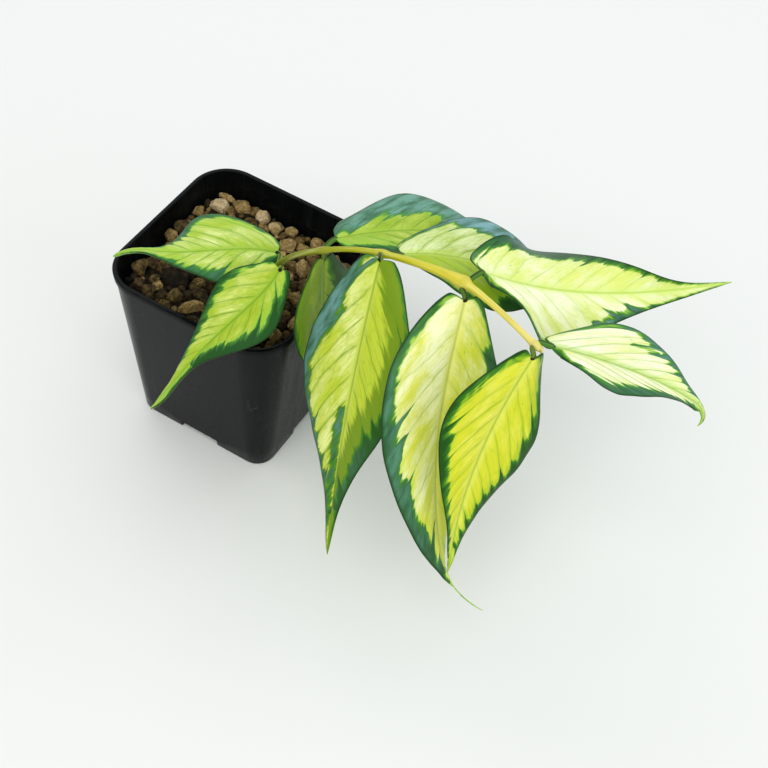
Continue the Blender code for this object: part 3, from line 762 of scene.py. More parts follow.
    def install(self) -> None:
        """Build and dress the gravel as one piece."""
        grains = self.scatter()
        fine, fine_faces = self.ball(3)
        rough, rough_faces = self.ball(2)
        points, faces = self.filling()
        # the filling takes a tone near the darkest: painted shade between the grains
        groups, tones = [points], [np.full(len(points), 0.05)]
        count = len(points)
        for number, grain in enumerate(grains):
            big = max(grain.half_sizes) > 1.75
            ball, cells = (fine, fine_faces) if big else (rough, rough_faces)
            groups.append(self.hold_in(self.pebble(ball, grain, number)))
            # tone falls towards -Y: painted shade
            tones.append(np.full(len(ball), grain.tone + self.drift * grain.place[1]))
            faces += (cells + count).tolist()
            count += len(ball)
        bed = mesh_piece("pumice_bed", np.concatenate(groups), faces, 24)
        paint_points(bed, "tone", np.concatenate(tones))
        LOG.info("%d grains", len(grains))
        install(bed, Pumice().material(), Slot.GRAVEL, "pumice")


# ---------------------------------------------------------------- stem


@dataclass(frozen=True)
class YoungStem:
    """The shoot's skin: smooth and waxy, olive near the pot and pale yellow towards its tip, with fine streaks."""

    stops: tuple = (
        (0.0, "#474f08"), (0.38, "#66700a"), (0.50, "#949a08"), (0.62, "#c0bd0e"), (0.80, "#d6ca38"), (1.0, "#e6d67c")
    )

    def material(self) -> bpy.types.Material:
        """Build the finish.

        Returns:
            The material.
        """
        material, tree, shader = painted("young_stem_skin", 0.38, Coat_Weight=0.08, Subsurface_Weight=0.08, Specular_IOR_Level=0.3)
        shader.inputs["Subsurface Radius"].default_value = (0.002, 0.0015, 0.0005)
        flow = add_node(tree, "Attribute", attribute_name="flow").outputs["Vector"]
        parts = add_node(tree, "SeparateXYZ", {0: flow})
        colour = ramp(tree, parts.outputs[0], self.stops)
        fine = add_node(tree, "Mapping", {0: flow, 3: (14.0, 2.2, 1.0)}).outputs[0]
        streak = add_node(tree, "TexNoise", {"Vector": fine, "Scale": 1.0, "Detail": 4.0}).outputs[0]
        colour = blend(tree, times(tree, between(tree, streak, 0.5, 0.75), 0.35), colour, "#f0eab0")
        colour = blend(tree, times(tree, between(tree, streak, 0.46, 0.25), 0.35), colour, "#7d8420")
        knot = add_node(tree, "Attribute", attribute_name="knot").outputs["Fac"]
        colour = blend(tree, times(tree, between(tree, knot, 0.25, 1.0), 0.20), colour, "#8b8a2c")
        tree.links.new(colour, shader.inputs["Base Color"])
        bump = add_node(tree, "Bump", {"Strength": 0.25, "Distance": 0.0002, "Height": streak})
        tree.links.new(bump.outputs[0], shader.inputs["Normal"])
        return material


@dataclass(frozen=True)
class Shoot:
    """The stem with its swollen joints, and the paths that its leaves start from."""

    foot: Triple = (14.0, -5.0, 30.0)
    collar: Triple = (14.0, -5.0, 55.0)
    joints: tuple = (
        (20.5, -8.0, 86.0), (34.0, -3.0, 97.0), (54.5, -1.0, 106.0), (84.5, -3.5, 113.0), (112.5, -11.0, 111.0)
    )
    tip: Triple = (114.5, -11.8, 111.0)
    knots: tuple = (1.6, 1.5, 1.9, 2.2, 1.6)
    profile: tuple = (
        (0.0, 1.5), (1.0, 1.35), (1.8, 1.15), (2.0, 1.5), (2.2, 1.1), (2.5, 0.98), (2.85, 1.0), (3.0, 1.35),
        (3.15, 0.95), (3.5, 0.88), (3.85, 0.98), (4.0, 1.55), (4.1, 1.05), (4.5, 1.25), (4.8, 1.6), (4.95, 2.3),
        (5.0, 2.6), (5.06, 1.35), (5.25, 0.98), (5.7, 0.92), (5.88, 1.1), (6.0, 1.6), (7.0, 1.2)
    )
    bud: float = 0.7

    def path(self) -> np.ndarray:
        """The stem's middle line."""
        return smooth_curve((self.foot, self.collar, *self.joints, self.tip), 0.6)

    def radii(self, path: np.ndarray) -> np.ndarray:
        """Radius along the stem, through the profile, whose whole numbers are the foot, the collar and the joints.

        Args:
            path: the stem's middle line.

        Returns:
            A radius at each point.
        """
        marks = (self.foot, self.collar, *self.joints, self.tip)
        rows = [int(np.argmin(np.linalg.norm(path - np.array(mark), axis=1))) for mark in marks]
        station = np.interp(np.arange(len(path)), rows, np.arange(len(marks)))
        places, sizes = np.array(self.profile).T
        fine = np.linspace(0, len(marks) - 1, 1400)
        rough = np.interp(fine, places, sizes)
        smooth = np.convolve(np.pad(rough, 8, "edge"), np.hanning(17) / np.hanning(17).sum(), "valid")
        radii = np.interp(station, fine, smooth)
        left = np.linalg.norm(path - path[-1], axis=1)
        return np.where(left < self.bud * 2, np.minimum(radii, self.bud + left * 0.4), radii)

    def near(self, joint: int) -> tuple[np.ndarray, np.ndarray]:
        """A joint's place and the stem's direction there."""
        path = self.path()
        place = np.array(self.joints[joint])
        return place, directions(path)[int(np.argmin(np.linalg.norm(path - place, axis=1)))]

    def install(self) -> None:
        """Build and dress the stem."""
        path = self.path()
        radii = self.radii(path)
        sides = 28
        knot = sum(np.exp(-((np.linalg.norm(path - np.array(j), axis=1) / 1.5) ** 2)) for j in self.joints)
        rings = tube_rings(path, radii, sides, lambda i, a: 1 + 0.03 * np.cos(3 * a + i * 0.02) * np.ones_like(i))
        last = path[-1] + directions(path)[-1] * self.bud * 0.6
        closing = path[-1] + (rings[-1] - path[-1]) * 0.7 + (last - path[-1]) * 0.6
        rings = np.concatenate([rings, closing[None], last + (rings[-1:] - path[-1]) * 0.25])
        stem = rings_piece("stem_skin", rings)
        share = np.linspace(0, 1, len(path))
        share = np.r_[share, 1, 1]
        around = np.linspace(0, 1, sides, endpoint=False)
        length = share * 16
        flow = np.stack(
            [
                np.repeat(share, sides),
                np.tile(np.sin(around * 2 * math.pi), len(share)),
                np.tile(np.cos(around * 2 * math.pi), len(share)) + np.repeat(length, sides) * 0.0,
            ],
            1,
        )
        paint_points(stem, "flow", flow)
        paint_points(stem, "knot", np.repeat(np.r_[knot, 0, 0], sides))
        install(stem, YoungStem().material(), Slot.STEM, "stem")


@dataclass(frozen=True)
class DryStump:
    """The dry stump of a former shoot: shrunken, ridged, orange-brown with a paler broken end."""

    ends: tuple = ((0.5, 16.0, 50.0), (4.6, 14.8, 58.6), (8.2, 13.6, 66.0))
    radius: float = 0.85
    knob: float = 1.15

    def material(self) -> bpy.types.Material:
        """Dry bark: matt, fibrous, orange-brown.

        Returns:
            The material.
        """
        material, tree, shader = painted("dry_bark", 0.85)
        place = add_node(tree, "TexCoord").outputs["Object"]
        long = add_node(tree, "Mapping", {0: place, 3: (1.0, 1.0, 0.25)}).outputs[0]
        fibre = add_node(tree, "TexNoise", {"Vector": long, "Scale": 1800.0, "Detail": 5.0}).outputs[0]
        colour = ramp(tree, fibre, ((0.3, "#5a3312"), (0.5, "#a8672a"), (0.7, "#d79a55")))
        high = between(tree, add_node(tree, "SeparateXYZ", {0: place}).outputs[2], 0.0635, 0.066)
        colour = blend(tree, times(tree, high, 0.6), colour, "#e0b27a")
        tree.links.new(colour, shader.inputs["Base Color"])
        bump = add_node(tree, "Bump", {"Strength": 0.6, "Distance": 0.0003, "Height": fibre})
        tree.links.new(bump.outputs[0], shader.inputs["Normal"])
        return material

    def install(self) -> None:
        """Build and dress the stump."""
        path = smooth_curve(self.ends, 0.5)
        rows = np.arange(len(path)) / (len(path) - 1)
        radii = self.radius + (self.knob - self.radius) * np.clip((rows - 0.7) / 0.12, 0, 1)
        radii = radii * np.where(rows > 0.97, 0.75, 1.0)
        rings = tube_rings(path, radii, 20, lambda i, a: 1 + 0.10 * np.cos(5 * a + i * 0.15) + 0.05 * np.cos(9 * a))
        install(rings_piece("dry_stump", rings, 60), self.material(), Slot.DRY, "stub")


# ---------------------------------------------------------------- leaves

STATIONS = np.array((0.08, 0.25, 0.45, 0.65, 0.85))  # shares of a blade's length that carry a half width
BAND_STATIONS = np.array((0.0, 0.1, 0.25, 0.4, 0.55, 0.7, 0.85, 1.0))  # and that carry a margin's width
LEVEL = (0.0,) * 5
# no painted sheen (painted reflection) along a margin
NO_PAINTED_SHEEN = (0.0,) * 8


@dataclass(frozen=True)
class Patch:
    """A stray green or pale flame in the other colour: its side, its reach along the leaf and from the midrib."""

    side: Side
    start: float
    end: float
    inner_mm: float
    outer_mm: float


@dataclass(frozen=True)
class LeafForm:
    """A leaf's shape, as the CAD has it.

    The midrib is a curve from base to tip that is drawn towards shoulder and bend; hook pulls its tip aside. roll
    and end_roll turn the blade about it at base and tip and mid_roll is added half way. left and right are half
    widths at STATIONS, and left_lift and right_lift raise the edges there. lobe is how far the
    edges reach back past the stalk's end, and thread is the share from which the tip is drawn out thin.
    """

    name: str
    joint: int
    base: Triple
    shoulder: Triple
    bend: Triple
    tip: Triple
    roll: float
    end_roll: float
    left: tuple
    right: tuple
    mid_roll: float = 0.0
    hook: Triple = (0.0, 0.0, 0.0)
    lobe: float = 3.0
    thread: float = 0.0
    left_lift: tuple = LEVEL
    right_lift: tuple = LEVEL


@dataclass(frozen=True)
class LeafLook:
    """A leaf's colours and pattern. Bands are margin widths in millimetres at BAND_STATIONS; the painted sheen, a
    painted reflection on the margin, runs 0 to 1.
    """

    left_band: tuple
    right_band: tuple
    left_painted_sheen: tuple = NO_PAINTED_SHEEN
    right_painted_sheen: tuple = NO_PAINTED_SHEEN
    heart: str = "#eaf3ae"
    flush: str = "#c6dc55"
    left_flush: float = 0.35
    right_flush: float = 0.35
    end_flush: float = 0.3
    # green layer per half, also painted shade on a half that lies in shade
    left_veil_and_shade: float = 0.0
    right_veil_and_shade: float = 0.0
    veil_and_shade_depth: float = 0.55
    vein_depth: float = 1.0
    vein: str = "#93b82c"
    rib: str = "#a8c840"
    lime: str = "#8fbf3c"
    green: str = "#42802a"
    dark: str = "#1e4a16"
    # colour of the painted sheen: a painted reflection of the sky in the waxy margin
    painted_sheen: str = "#5f9488"
    rim: str = "#173c10"
    stalk: str = "#6f8a2a"
    spacing: float = 7.5
    sweep: float = 1.15
    tooth: float = 4.0
    patches: tuple = ()


@dataclass(frozen=True)
class LeafSkin:
    """A waxy hoya leaf: a pale heart, green veins, and a dark margin that runs in along the veins in teeth."""

    look: LeafLook
    seed: int

    def material(self, name: str) -> bpy.types.Material:
        """Build the finish.

        Args:
            name: the leaf's name.

        Returns:
            The material.
        """
        look = self.look
        material, tree, shader = painted(name + "_waxy_skin", 0.42, Coat_Weight=0.03, Coat_Roughness=0.30)
        shader.inputs["Specular IOR Level"].default_value = 0.14
        read = lambda key, out="Fac": add_node(tree, "Attribute", attribute_name=key).outputs[out]
        flow, phase, margin = read("flow", "Vector"), read("phase"), read("margin")
        edge, painted_sheen, patch, flush = read("edge"), read("painted_sheen"), read("patch"), read("flush")
        under, stalk, gland = read("under"), read("stalk"), read("gland")
        slender, sunk, veil_and_shade = read("slender"), read("sunk"), read("veil_and_shade")
        from_rib = add_node(tree, "SeparateXYZ", {0: flow}).outputs[1]

        # slow drift bends the veins a little and makes their spacing uneven
        slow = add_node(tree, "TexNoise", {"Vector": flow, "Scale": 0.09, "Detail": 2.0}).outputs[0]
        bent = times(tree, times(tree, slow, 0.5, "SUBTRACT"), 0.8)
        phase = times(tree, phase, bent, "ADD")
        cell = times(tree, phase, 0.0, "FLOOR")
        across = times(tree, phase, cell, "SUBTRACT")

        # teeth: green runs in deep at a vein, and the heart bulges out in a round lobe before the next one
        key = times(tree, cell, self.seed * 7.3, "ADD")
        own = add_node(tree, "TexWhiteNoise", {"W": key}, noise_dimensions="1D").outputs
        level = times(tree, own["Value"], 0.35, "MULTIPLY_ADD", 0.82)
        chance = add_node(tree, "SeparateColor", {0: own["Color"]}).outputs[1]
        length = times(tree, times(tree, chance, 2.0, "POWER"), 1.9 * look.tooth, "MULTIPLY_ADD", 0.2 * look.tooth)
        length = times(tree, length, between(tree, margin, 0.0, 3.2))
        lobed = times(tree, times(tree, across, math.pi), 0.0, "SINE")
        tooth = times(tree, across, -0.45, "MULTIPLY_ADD", times(tree, lobed, -0.60, "MULTIPLY_ADD", 0.80))
        reach = times(tree, length, tooth, "MULTIPLY_ADD", times(tree, margin, level))
        thin = add_node(tree, "Mapping", {0: flow, 3: (0.9, 0.13, 1.0)}).outputs[0]
        flames = add_node(tree, "TexNoise", {"Vector": thin, "Scale": 1.0, "Detail": 5.0, "Roughness": 0.6}).outputs[0]
        ragged = add_node(tree, "TexNoise", {"Vector": flow, "Scale": 0.34, "Detail": 2.5}).outputs[0]
        broad = add_node(tree, "Mapping", {0: flow, 3: (0.50, 0.12, 1.0)}).outputs[0]
        tongues = add_node(tree, "TexNoise", {"Vector": broad, "Scale": 1.0, "Detail": 1.5}).outputs[0]
        jitter = times(tree, times(tree, flames, 0.5, "SUBTRACT"), 0.9)
        jitter = times(tree, times(tree, tongues, 0.5, "SUBTRACT"), 2.4, "MULTIPLY_ADD", jitter)
        jitter = times(tree, times(tree, ragged, 0.5, "SUBTRACT"), 2.6, "MULTIPLY_ADD", jitter)
        jitter = times(tree, jitter, between(tree, margin, 0.2, 3.0))
        field = times(tree, times(tree, reach, edge, "SUBTRACT"), jitter, "ADD")
        stray = times(tree, patch, jitter, "ADD")
        field = times(tree, field, stray, "MAXIMUM")

        # heart: pale, flushed yellow-green, streaked along the veins and finely mottled
        cloud = add_node(tree, "TexNoise", {"Vector": flow, "Scale": 0.11, "Detail": 3.0}).outputs[0]
        fleck = add_node(tree, "TexNoise", {"Vector": flow, "Scale": 0.95, "Detail": 4.0, "Roughness": 0.7}).outputs[0]
        tinge = times(tree, flush, times(tree, cloud, 2.2, "MULTIPLY_ADD", -0.63), "ADD")
        tinge = times(tree, times(tree, fleck, 0.5, "SUBTRACT"), 1.0, "MULTIPLY_ADD", tinge)
        heart = blend(tree, between(tree, tinge, 0.1, 1.15), look.heart, look.flush)
        heart = blend(tree, times(tree, between(tree, flames, 0.50, 0.74), 0.42), heart, look.flush)
        heart = blend(tree, times(tree, between(tree, flames, 0.62, 0.80), 0.24), heart, look.vein)
        wave = times(tree, phase, 0.5, "PINGPONG")
        near = times(tree, wave, look.spacing)
        thick = times(tree, between(tree, from_rib, 16.0, 0.0), 0.22, "MULTIPLY_ADD", 0.20)
        line = times(tree, near, thick, "DIVIDE")
        line = between(tree, line, 1.5, 0.3)
        soft = between(tree, near, 1.9, 0.1)
        fade = times(tree, between(tree, edge, 0.0, 6.0), 0.65, "MULTIPLY_ADD", 0.35)
        fade = times(tree, fade, times(tree, between(tree, flames, 0.30, 0.58), 0.6, "MULTIPLY_ADD", 0.4))
        strength = times(tree, times(tree, line, 0.55), times(tree, soft, 0.26), "ADD")
        # finer veins half way between, and a net of hairlines that joins them
        half = times(tree, times(tree, phase, 0.5, "ADD"), 0.5, "PINGPONG")
        half = between(tree, times(tree, half, look.spacing), 0.42, 0.10)
        strength = times(tree, times(tree, half, between(tree, cloud, 0.42, 0.62)), 0.24, "MULTIPLY_ADD", strength)
        knit = add_node(tree, "Mapping", {0: flow, 3: (0.40, 0.20, 1.0)}).outputs[0]
        knit = add_node(tree, "TexVoronoi", {"Vector": knit, "Scale": 1.0}, feature="DISTANCE_TO_EDGE").outputs[0]
        strength = times(tree, between(tree, knit, 0.11, 0.02), 0.24, "MULTIPLY_ADD", strength)
        strength = times(tree, times(tree, times(tree, strength, fade), slender), look.vein_depth)
        strength = times(tree, strength, 0.85, "MINIMUM")
        heart = blend(tree, strength, heart, look.vein)
        beside = between(tree, from_rib, 2.6, 0.6)
        heart = blend(tree, times(tree, beside, 0.55), heart, look.rib)
        heart = blend(tree, times(tree, between(tree, from_rib, 0.55, 0.15), 0.6), heart, look.vein)
        ticks = add_node(tree, "TexVoronoi", {"Vector": flow, "Scale": 0.22}).outputs
        sparse = add_node(tree, "SeparateColor", {0: ticks["Color"]}).outputs[0]
        dots = times(tree, between(tree, ticks["Distance"], 0.08, 0.03), between(tree, sparse, 0.84, 0.88))
        heart = blend(tree, times(tree, dots, 0.45), heart, look.green)

        # a thin green layer shows through beyond the margin, as paler streaks and clouds; its per-side amount also
        # paints shade over a half that lies in shade
        veil_and_shade_field = times(tree, times(tree, flames, 0.5, "SUBTRACT"), 9.0, "MULTIPLY_ADD", field)
        veil_and_shade_field = times(tree, times(tree, cloud, 0.5, "SUBTRACT"), 6.0, "MULTIPLY_ADD", veil_and_shade_field)
        veil_and_shade_field = times(tree, veil_and_shade, 7.0, "MULTIPLY_ADD", veil_and_shade_field)
        heart = blend(tree, times(tree, between(tree, veil_and_shade_field, -1.2, 2.0), look.veil_and_shade_depth), heart, look.lime)

        # margin: lime fringe, mid green, then dark green with darker veins and a painted blue-green sheen, a painted
        # reflection
        body = times(tree, times(tree, ragged, 0.5, "SUBTRACT"), 2.4, "MULTIPLY_ADD", field)
        body = times(tree, times(tree, flames, 0.5, "SUBTRACT"), 2.4, "MULTIPLY_ADD", body)
        shade = add_node(tree, "MapRange", {0: body, 1: -0.3, 2: 2.6}).outputs[0]
        green = ramp(tree, shade, ((0.0, look.lime), (0.10, look.lime), (0.30, look.green), (0.85, look.dark)))
        green = blend(tree, times(tree, line, 0.26), green, look.rim)
        # painted reflection: a blue-green sheen laid over the dark margin
        painted_sheen_mottle = add_node(tree, "TexNoise", {"Vector": flow, "Scale": 0.19, "Detail": 4.0}).outputs[0]
        painted_sheen_mask = times(tree, painted_sheen, times(tree, between(tree, painted_sheen_mottle, 0.34, 0.62), 0.75, "MULTIPLY_ADD", 0.25))
        painted_sheen_mask = times(tree, painted_sheen_mask, between(tree, body, 0.3, 2.4))
        painted_sheen_mask = times(tree, painted_sheen_mask, times(tree, between(tree, edge, 0.3, 1.5), 0.7, "MULTIPLY_ADD", 0.3))
        painted_sheen_mask = times(tree, painted_sheen_mask, times(tree, line, -0.4, "MULTIPLY_ADD", 1.0))
        painted_sheen_mask = times(tree, painted_sheen_mask, times(tree, fleck, 0.9, "MULTIPLY_ADD", 0.5))
        green = blend(tree, times(tree, times(tree, painted_sheen_mask, 0.95), 0.85, "MINIMUM"), green, look.painted_sheen)
        colour = blend(tree, between(tree, field, -0.32, 0.22), heart, green)
        rim_line = times(tree, between(tree, edge, 0.55, 0.25), 0.9)
        colour = blend(tree, times(tree, rim_line, slender), colour, look.rim)

        # underside: duller and lighter; stalk and the dark glands at the blade's base
        colour = blend(tree, times(tree, under, 0.55), colour, "#a3bd70")
        skin = blend(tree, between(tree, flames, 0.4, 0.7), look.stalk, look.green)
        skin = blend(tree, times(tree, between(tree, from_rib, 0.30, 0.14), times(tree, sunk, 0.8)), skin, "#1d2410")
        colour = blend(tree, stalk, colour, skin)
        colour = blend(tree, between(tree, gland, 0.44, 0.22), colour, "#1a150c")
        tree.links.new(colour, shader.inputs["Base Color"])

        pitted = add_node(tree, "TexNoise", {"Vector": flow, "Scale": 2.2, "Detail": 3.0}).outputs[0]
        relief = times(tree, times(tree, line, -0.4), times(tree, pitted, 0.35), "ADD")
        relief = times(tree, relief, times(tree, flames, 0.5), "ADD")
        bump = add_node(tree, "Bump", {"Strength": 0.30, "Distance": 0.0004, "Height": relief})
        tree.links.new(bump.outputs[0], shader.inputs["Normal"])
        return material


@dataclass(frozen=True)
class Leaf:
    """One leaf with its stalk: shape, pattern and finish."""

    form: LeafForm
    look: LeafLook
    shoot: Shoot
    seed: int
    rows: int = 190
    stalk_rows: int = 22
    columns: int = 67
    stalk_radius: float = 0.85
    opens_by: float = 0.016
    tip_half: float = 0.16
    arch: float = 0.05
    span: tuple[float, float] = (0.001, 0.996)

    @staticmethod
    def outline(share: np.ndarray, sizes: Sequence[float]) -> np.ndarray:
        """Half widths: the root of the share, times what is left to the tip, times a quartic through sizes.

        The quartic isn't read below a share of 0.06, where it would swing.

        Args:
            share: shares of the blade's length.
            sizes: half widths at STATIONS.

        Returns:
            Half widths.
        """
        envelope = np.sqrt(STATIONS) * (1.0 - STATIONS)
        fit = np.polyfit(STATIONS, np.array(sizes) / envelope, len(STATIONS) - 1)
        return np.sqrt(share) * (1.0 - share) * np.polyval(fit, np.maximum(share, 0.06))

    def midrib(self, shares: np.ndarray) -> tuple[np.ndarray, float]:
        """Points on the midrib: a cubic curve from base to tip, with the hook added over its last fifth.

        Args:
            shares: shares of its length.

        Returns:
            The points and the whole length.
        """
        form = self.form
        base, shoulder, bend = (np.array(p) for p in (form.base, form.shoulder, form.bend))
        hook = np.array(form.hook)
        tip = np.array(form.tip) - hook
        t = np.linspace(0.0, 1.0, 401)[:, None]
        curve = (1 - t) ** 3 * base + 3 * (1 - t) ** 2 * t * shoulder + 3 * (1 - t) * t**2 * bend + t**3 * tip
        curve = curve + hook * np.clip((t - 0.8) / 0.2, 0.0, 1.0) ** 2
        reached = np.r_[0.0, np.cumsum(np.linalg.norm(np.diff(curve, axis=0), axis=1))]
        points = np.stack([np.interp(shares * reached[-1], reached, curve[:, i]) for i in range(3)], 1)
        return points, float(reached[-1])

    def stalk(self, heading: np.ndarray) -> tuple[np.ndarray, np.ndarray]:
        """The stalk's middle line, from inside the stem's joint to the blade's base.

        Args:
            heading: the blade's direction at its base.

        Returns:
            The points and the direction that they leave the stem in.
        """
        base = np.array(self.form.base)
        joint, along = self.shoot.near(self.form.joint)
        out = (base - joint) - along * np.dot(base - joint, along)
        out = out / np.linalg.norm(out)
        start = joint + out * self.shoot.knots[self.form.joint] * 0.75
        reach = float(np.linalg.norm(base - start)) * 0.3
        a, b = start + (base - start) * 0.25 + out * reach * 0.35, base - heading * reach * 0.7
        t = np.linspace(0.0, 1.0, self.stalk_rows, endpoint=False)[:, None]
        return (1 - t) ** 3 * start + 3 * (1 - t) ** 2 * t * a + 3 * (1 - t) * t**2 * b + t**3 * base, out

    def build(self) -> bpy.types.Object:
        """The leaf's closed skin, with the fields that its material reads.

        Each row is a ring: the upper face from the left edge to the right one, and the lower face back. Between
        stalk and blade a circle opens into an arched strip.

        Returns:
            The leaf.
        """
        form, look = self.form, self.look
        even = np.linspace(0.0, 1.0, self.rows)
        eased = (1.0 - np.cos(even * math.pi)) / 2
        shares = self.span[0] + (self.span[1] - self.span[0]) * (0.35 * even + 0.65 * eased)
        blade, length = self.midrib(shares)
        heading = (blade[2] - blade[0]) / np.linalg.norm(blade[2] - blade[0])
        stalk, out = self.stalk(heading)
        path = np.concatenate([stalk, blade])
        share = np.concatenate([np.zeros(len(stalk)), shares])
        along = directions(path)
        along[0] = out
        side = np.cross(along, (0.0, 0.0, 1.0))
        side /= np.linalg.norm(side, axis=1, keepdims=True)
        up = np.cross(side, along)
        turn = form.roll + (form.end_roll - form.roll) * share + form.mid_roll * 4 * share * (1 - share)
        turn = np.radians(turn)[:, None]
        side, up = side * np.cos(turn) + up * np.sin(turn), up * np.cos(turn) - side * np.sin(turn)

        u = np.sin(np.linspace(-1.0, 1.0, self.columns) * math.pi / 2)[None, :]
        s = share[:, None]
        right = u > 0
        width = np.where(right, self.outline(s, form.right), self.outline(s, form.left))
        if form.thread:
            narrowing = np.clip((form.thread - s) / 0.16, 0.0, 1.0)
            width = width * narrowing * (2 - narrowing) + 0.26 * (1 - narrowing) * np.clip((1 - s) * 25, 0, 1)
        width = np.maximum(width, self.tip_half)
        lift = np.where(right, self.outline(s, form.right_lift), self.outline(s, form.left_lift))
        lift = lift * np.clip(width / 2.5, 0.0, 1.0)
        d = np.abs(u) * width
        edge = (1 - np.abs(u)) * width
        sweep = look.sweep * (0.85 + 0.6 * s)
        q = s * length - sweep * d
        offset = np.where(right, 0.0, 40.43)
        phase = q / look.spacing + offset + 0.22 * wander(q, self.seed, 18.0) + 20.0
        opened = np.clip(s / self.opens_by, 0.0, 1.0)
        opened = opened * opened * (3 - 2 * opened)
        back = form.lobe * np.abs(u) * width / (width + 1.2) * np.exp(-s / 0.05) * opened

        # relief: fields between veins swell, the midrib is sunk above and stands out below, the edge ripples
        body = np.clip(edge / 3.0, 0, 1) * np.clip(d / 2.5, 0, 1) * np.clip(s * 12, 0, 1)
        quilt = 0.26 * np.sin(math.pi * phase) ** 2 * body
        groove = -0.30 * np.exp(-((d / 0.7) ** 2)) * (1 - 0.6 * s) * np.clip(width / 3.0, 0, 1)
        ripple = 0.35 * np.abs(u) ** 3 * np.where(right, wander(s * length, self.seed + 5, 13), wander(s * length, self.seed + 9, 15))
        ripple = ripple * np.clip(width / 8, 0, 1)
        height = lift * np.abs(u) ** 2 + self.arch * width * 4 * np.abs(u) * (1 - np.abs(u)) + quilt + ripple
        slim = np.clip(width / 1.5, 0.25, 1.0)
        thick = slim * (0.8 - 0.2 * np.abs(u)) * np.sqrt(np.clip(1 - np.abs(u) ** 10, 0, 1))
        rib = slim * (0.25 + 0.6 * (1 - s)) * np.exp(-((d / 0.9) ** 2))
        stalk_high = self.stalk_radius * (1 - 0.18 * np.exp(-((u / 0.3) ** 2)))
        x = self.stalk_radius * np.sin(u * math.pi / 2) * (1 - opened) + width * u * np.maximum(opened, 0.0)
        bulge = np.cos(u * math.pi / 2) * (1 - opened)
        top = stalk_high * bulge + (height + thick / 2 + groove) * opened
        low = -self.stalk_radius * bulge + (height - thick / 2 - rib) * opened
        spine = path[:, None] - along[:, None] * back[..., None]
        place = lambda z: spine + side[:, None] * x[..., None] + up[:, None] * z[..., None]
        rings = np.concatenate([place(top), place(low)[:, 1:-1][:, ::-1]], 1)
        leaf = rings_piece(form.name + "_blade", rings)

        wrap = lambda values: np.concatenate([values, values[:, 1:-1][:, ::-1]], 1).ravel()
        full = np.broadcast_to
        shape = d.shape
        band = np.where(
            right, np.interp(s, BAND_STATIONS, look.right_band), np.interp(s, BAND_STATIONS, look.left_band)
        )
        band = np.where((width < 3.2) & (s > 0.5), np.minimum(band, 0.42 * width), band)
        # strength of the painted sheen, a painted reflection, along each margin
        painted_sheen = np.where(
            right, np.interp(s, BAND_STATIONS, look.right_painted_sheen), np.interp(s, BAND_STATIONS, look.left_painted_sheen)
        )
        flush = np.where(right, look.right_flush, look.left_flush) + look.end_flush * s**2
        patch = np.full(shape, -9.0)
        for spot in look.patches:
            on = (u * spot.side.value) > 0
            begin, finish = spot.start * length, spot.end * length
            lengthwise = np.minimum(s * length - begin, finish - s * length)
            inside = np.minimum(lengthwise, np.minimum(d - spot.inner_mm, spot.outer_mm - d))
            patch = np.where(on, np.maximum(patch, inside), patch)
        from_middle = np.where(s < 0.002, np.abs(u) * self.stalk_radius, d)
        flow = np.stack([wrap(q), wrap(full(from_middle, shape)), wrap(full(np.where(right, 90.0, 0.0), shape))], 1)
        gland_place = path[len(stalk)] + heading * 0.3
        top_points = place(top)
        gland = np.linalg.norm(top_points - gland_place, axis=2) - 0.0
        gland = gland - np.linalg.norm(top_points[len(stalk) + 3, self.columns // 2] - gland_place)
        lower = np.concatenate([np.zeros(shape), np.ones(shape)[:, 1:-1]], 1).ravel()
        for key, values in (
            ("phase", phase), ("margin", band), ("edge", edge), ("painted_sheen", painted_sheen), ("patch", patch),
            ("flush", flush), ("stalk", 1 - np.clip(s / 0.010, 0, 1)), ("gland", gland),
            ("veil_and_shade", np.where(right, look.right_veil_and_shade, look.left_veil_and_shade)),
            ("slender", np.clip(width / 2.2 - 0.25, 0, 1)), ("sunk", np.where(s < 0.002, 1.0, 0.0)),
        ):
            paint_points(leaf, key, wrap(full(values, shape)))
        paint_points(leaf, "under", lower)
        paint_points(leaf, "flow", flow)
        return leaf

    def install(self) -> None:
        """Build and dress the leaf."""
        material = LeafSkin(self.look, self.seed).material(self.form.name)
        install(self.build(), material, Slot.LEAF, self.form.name)


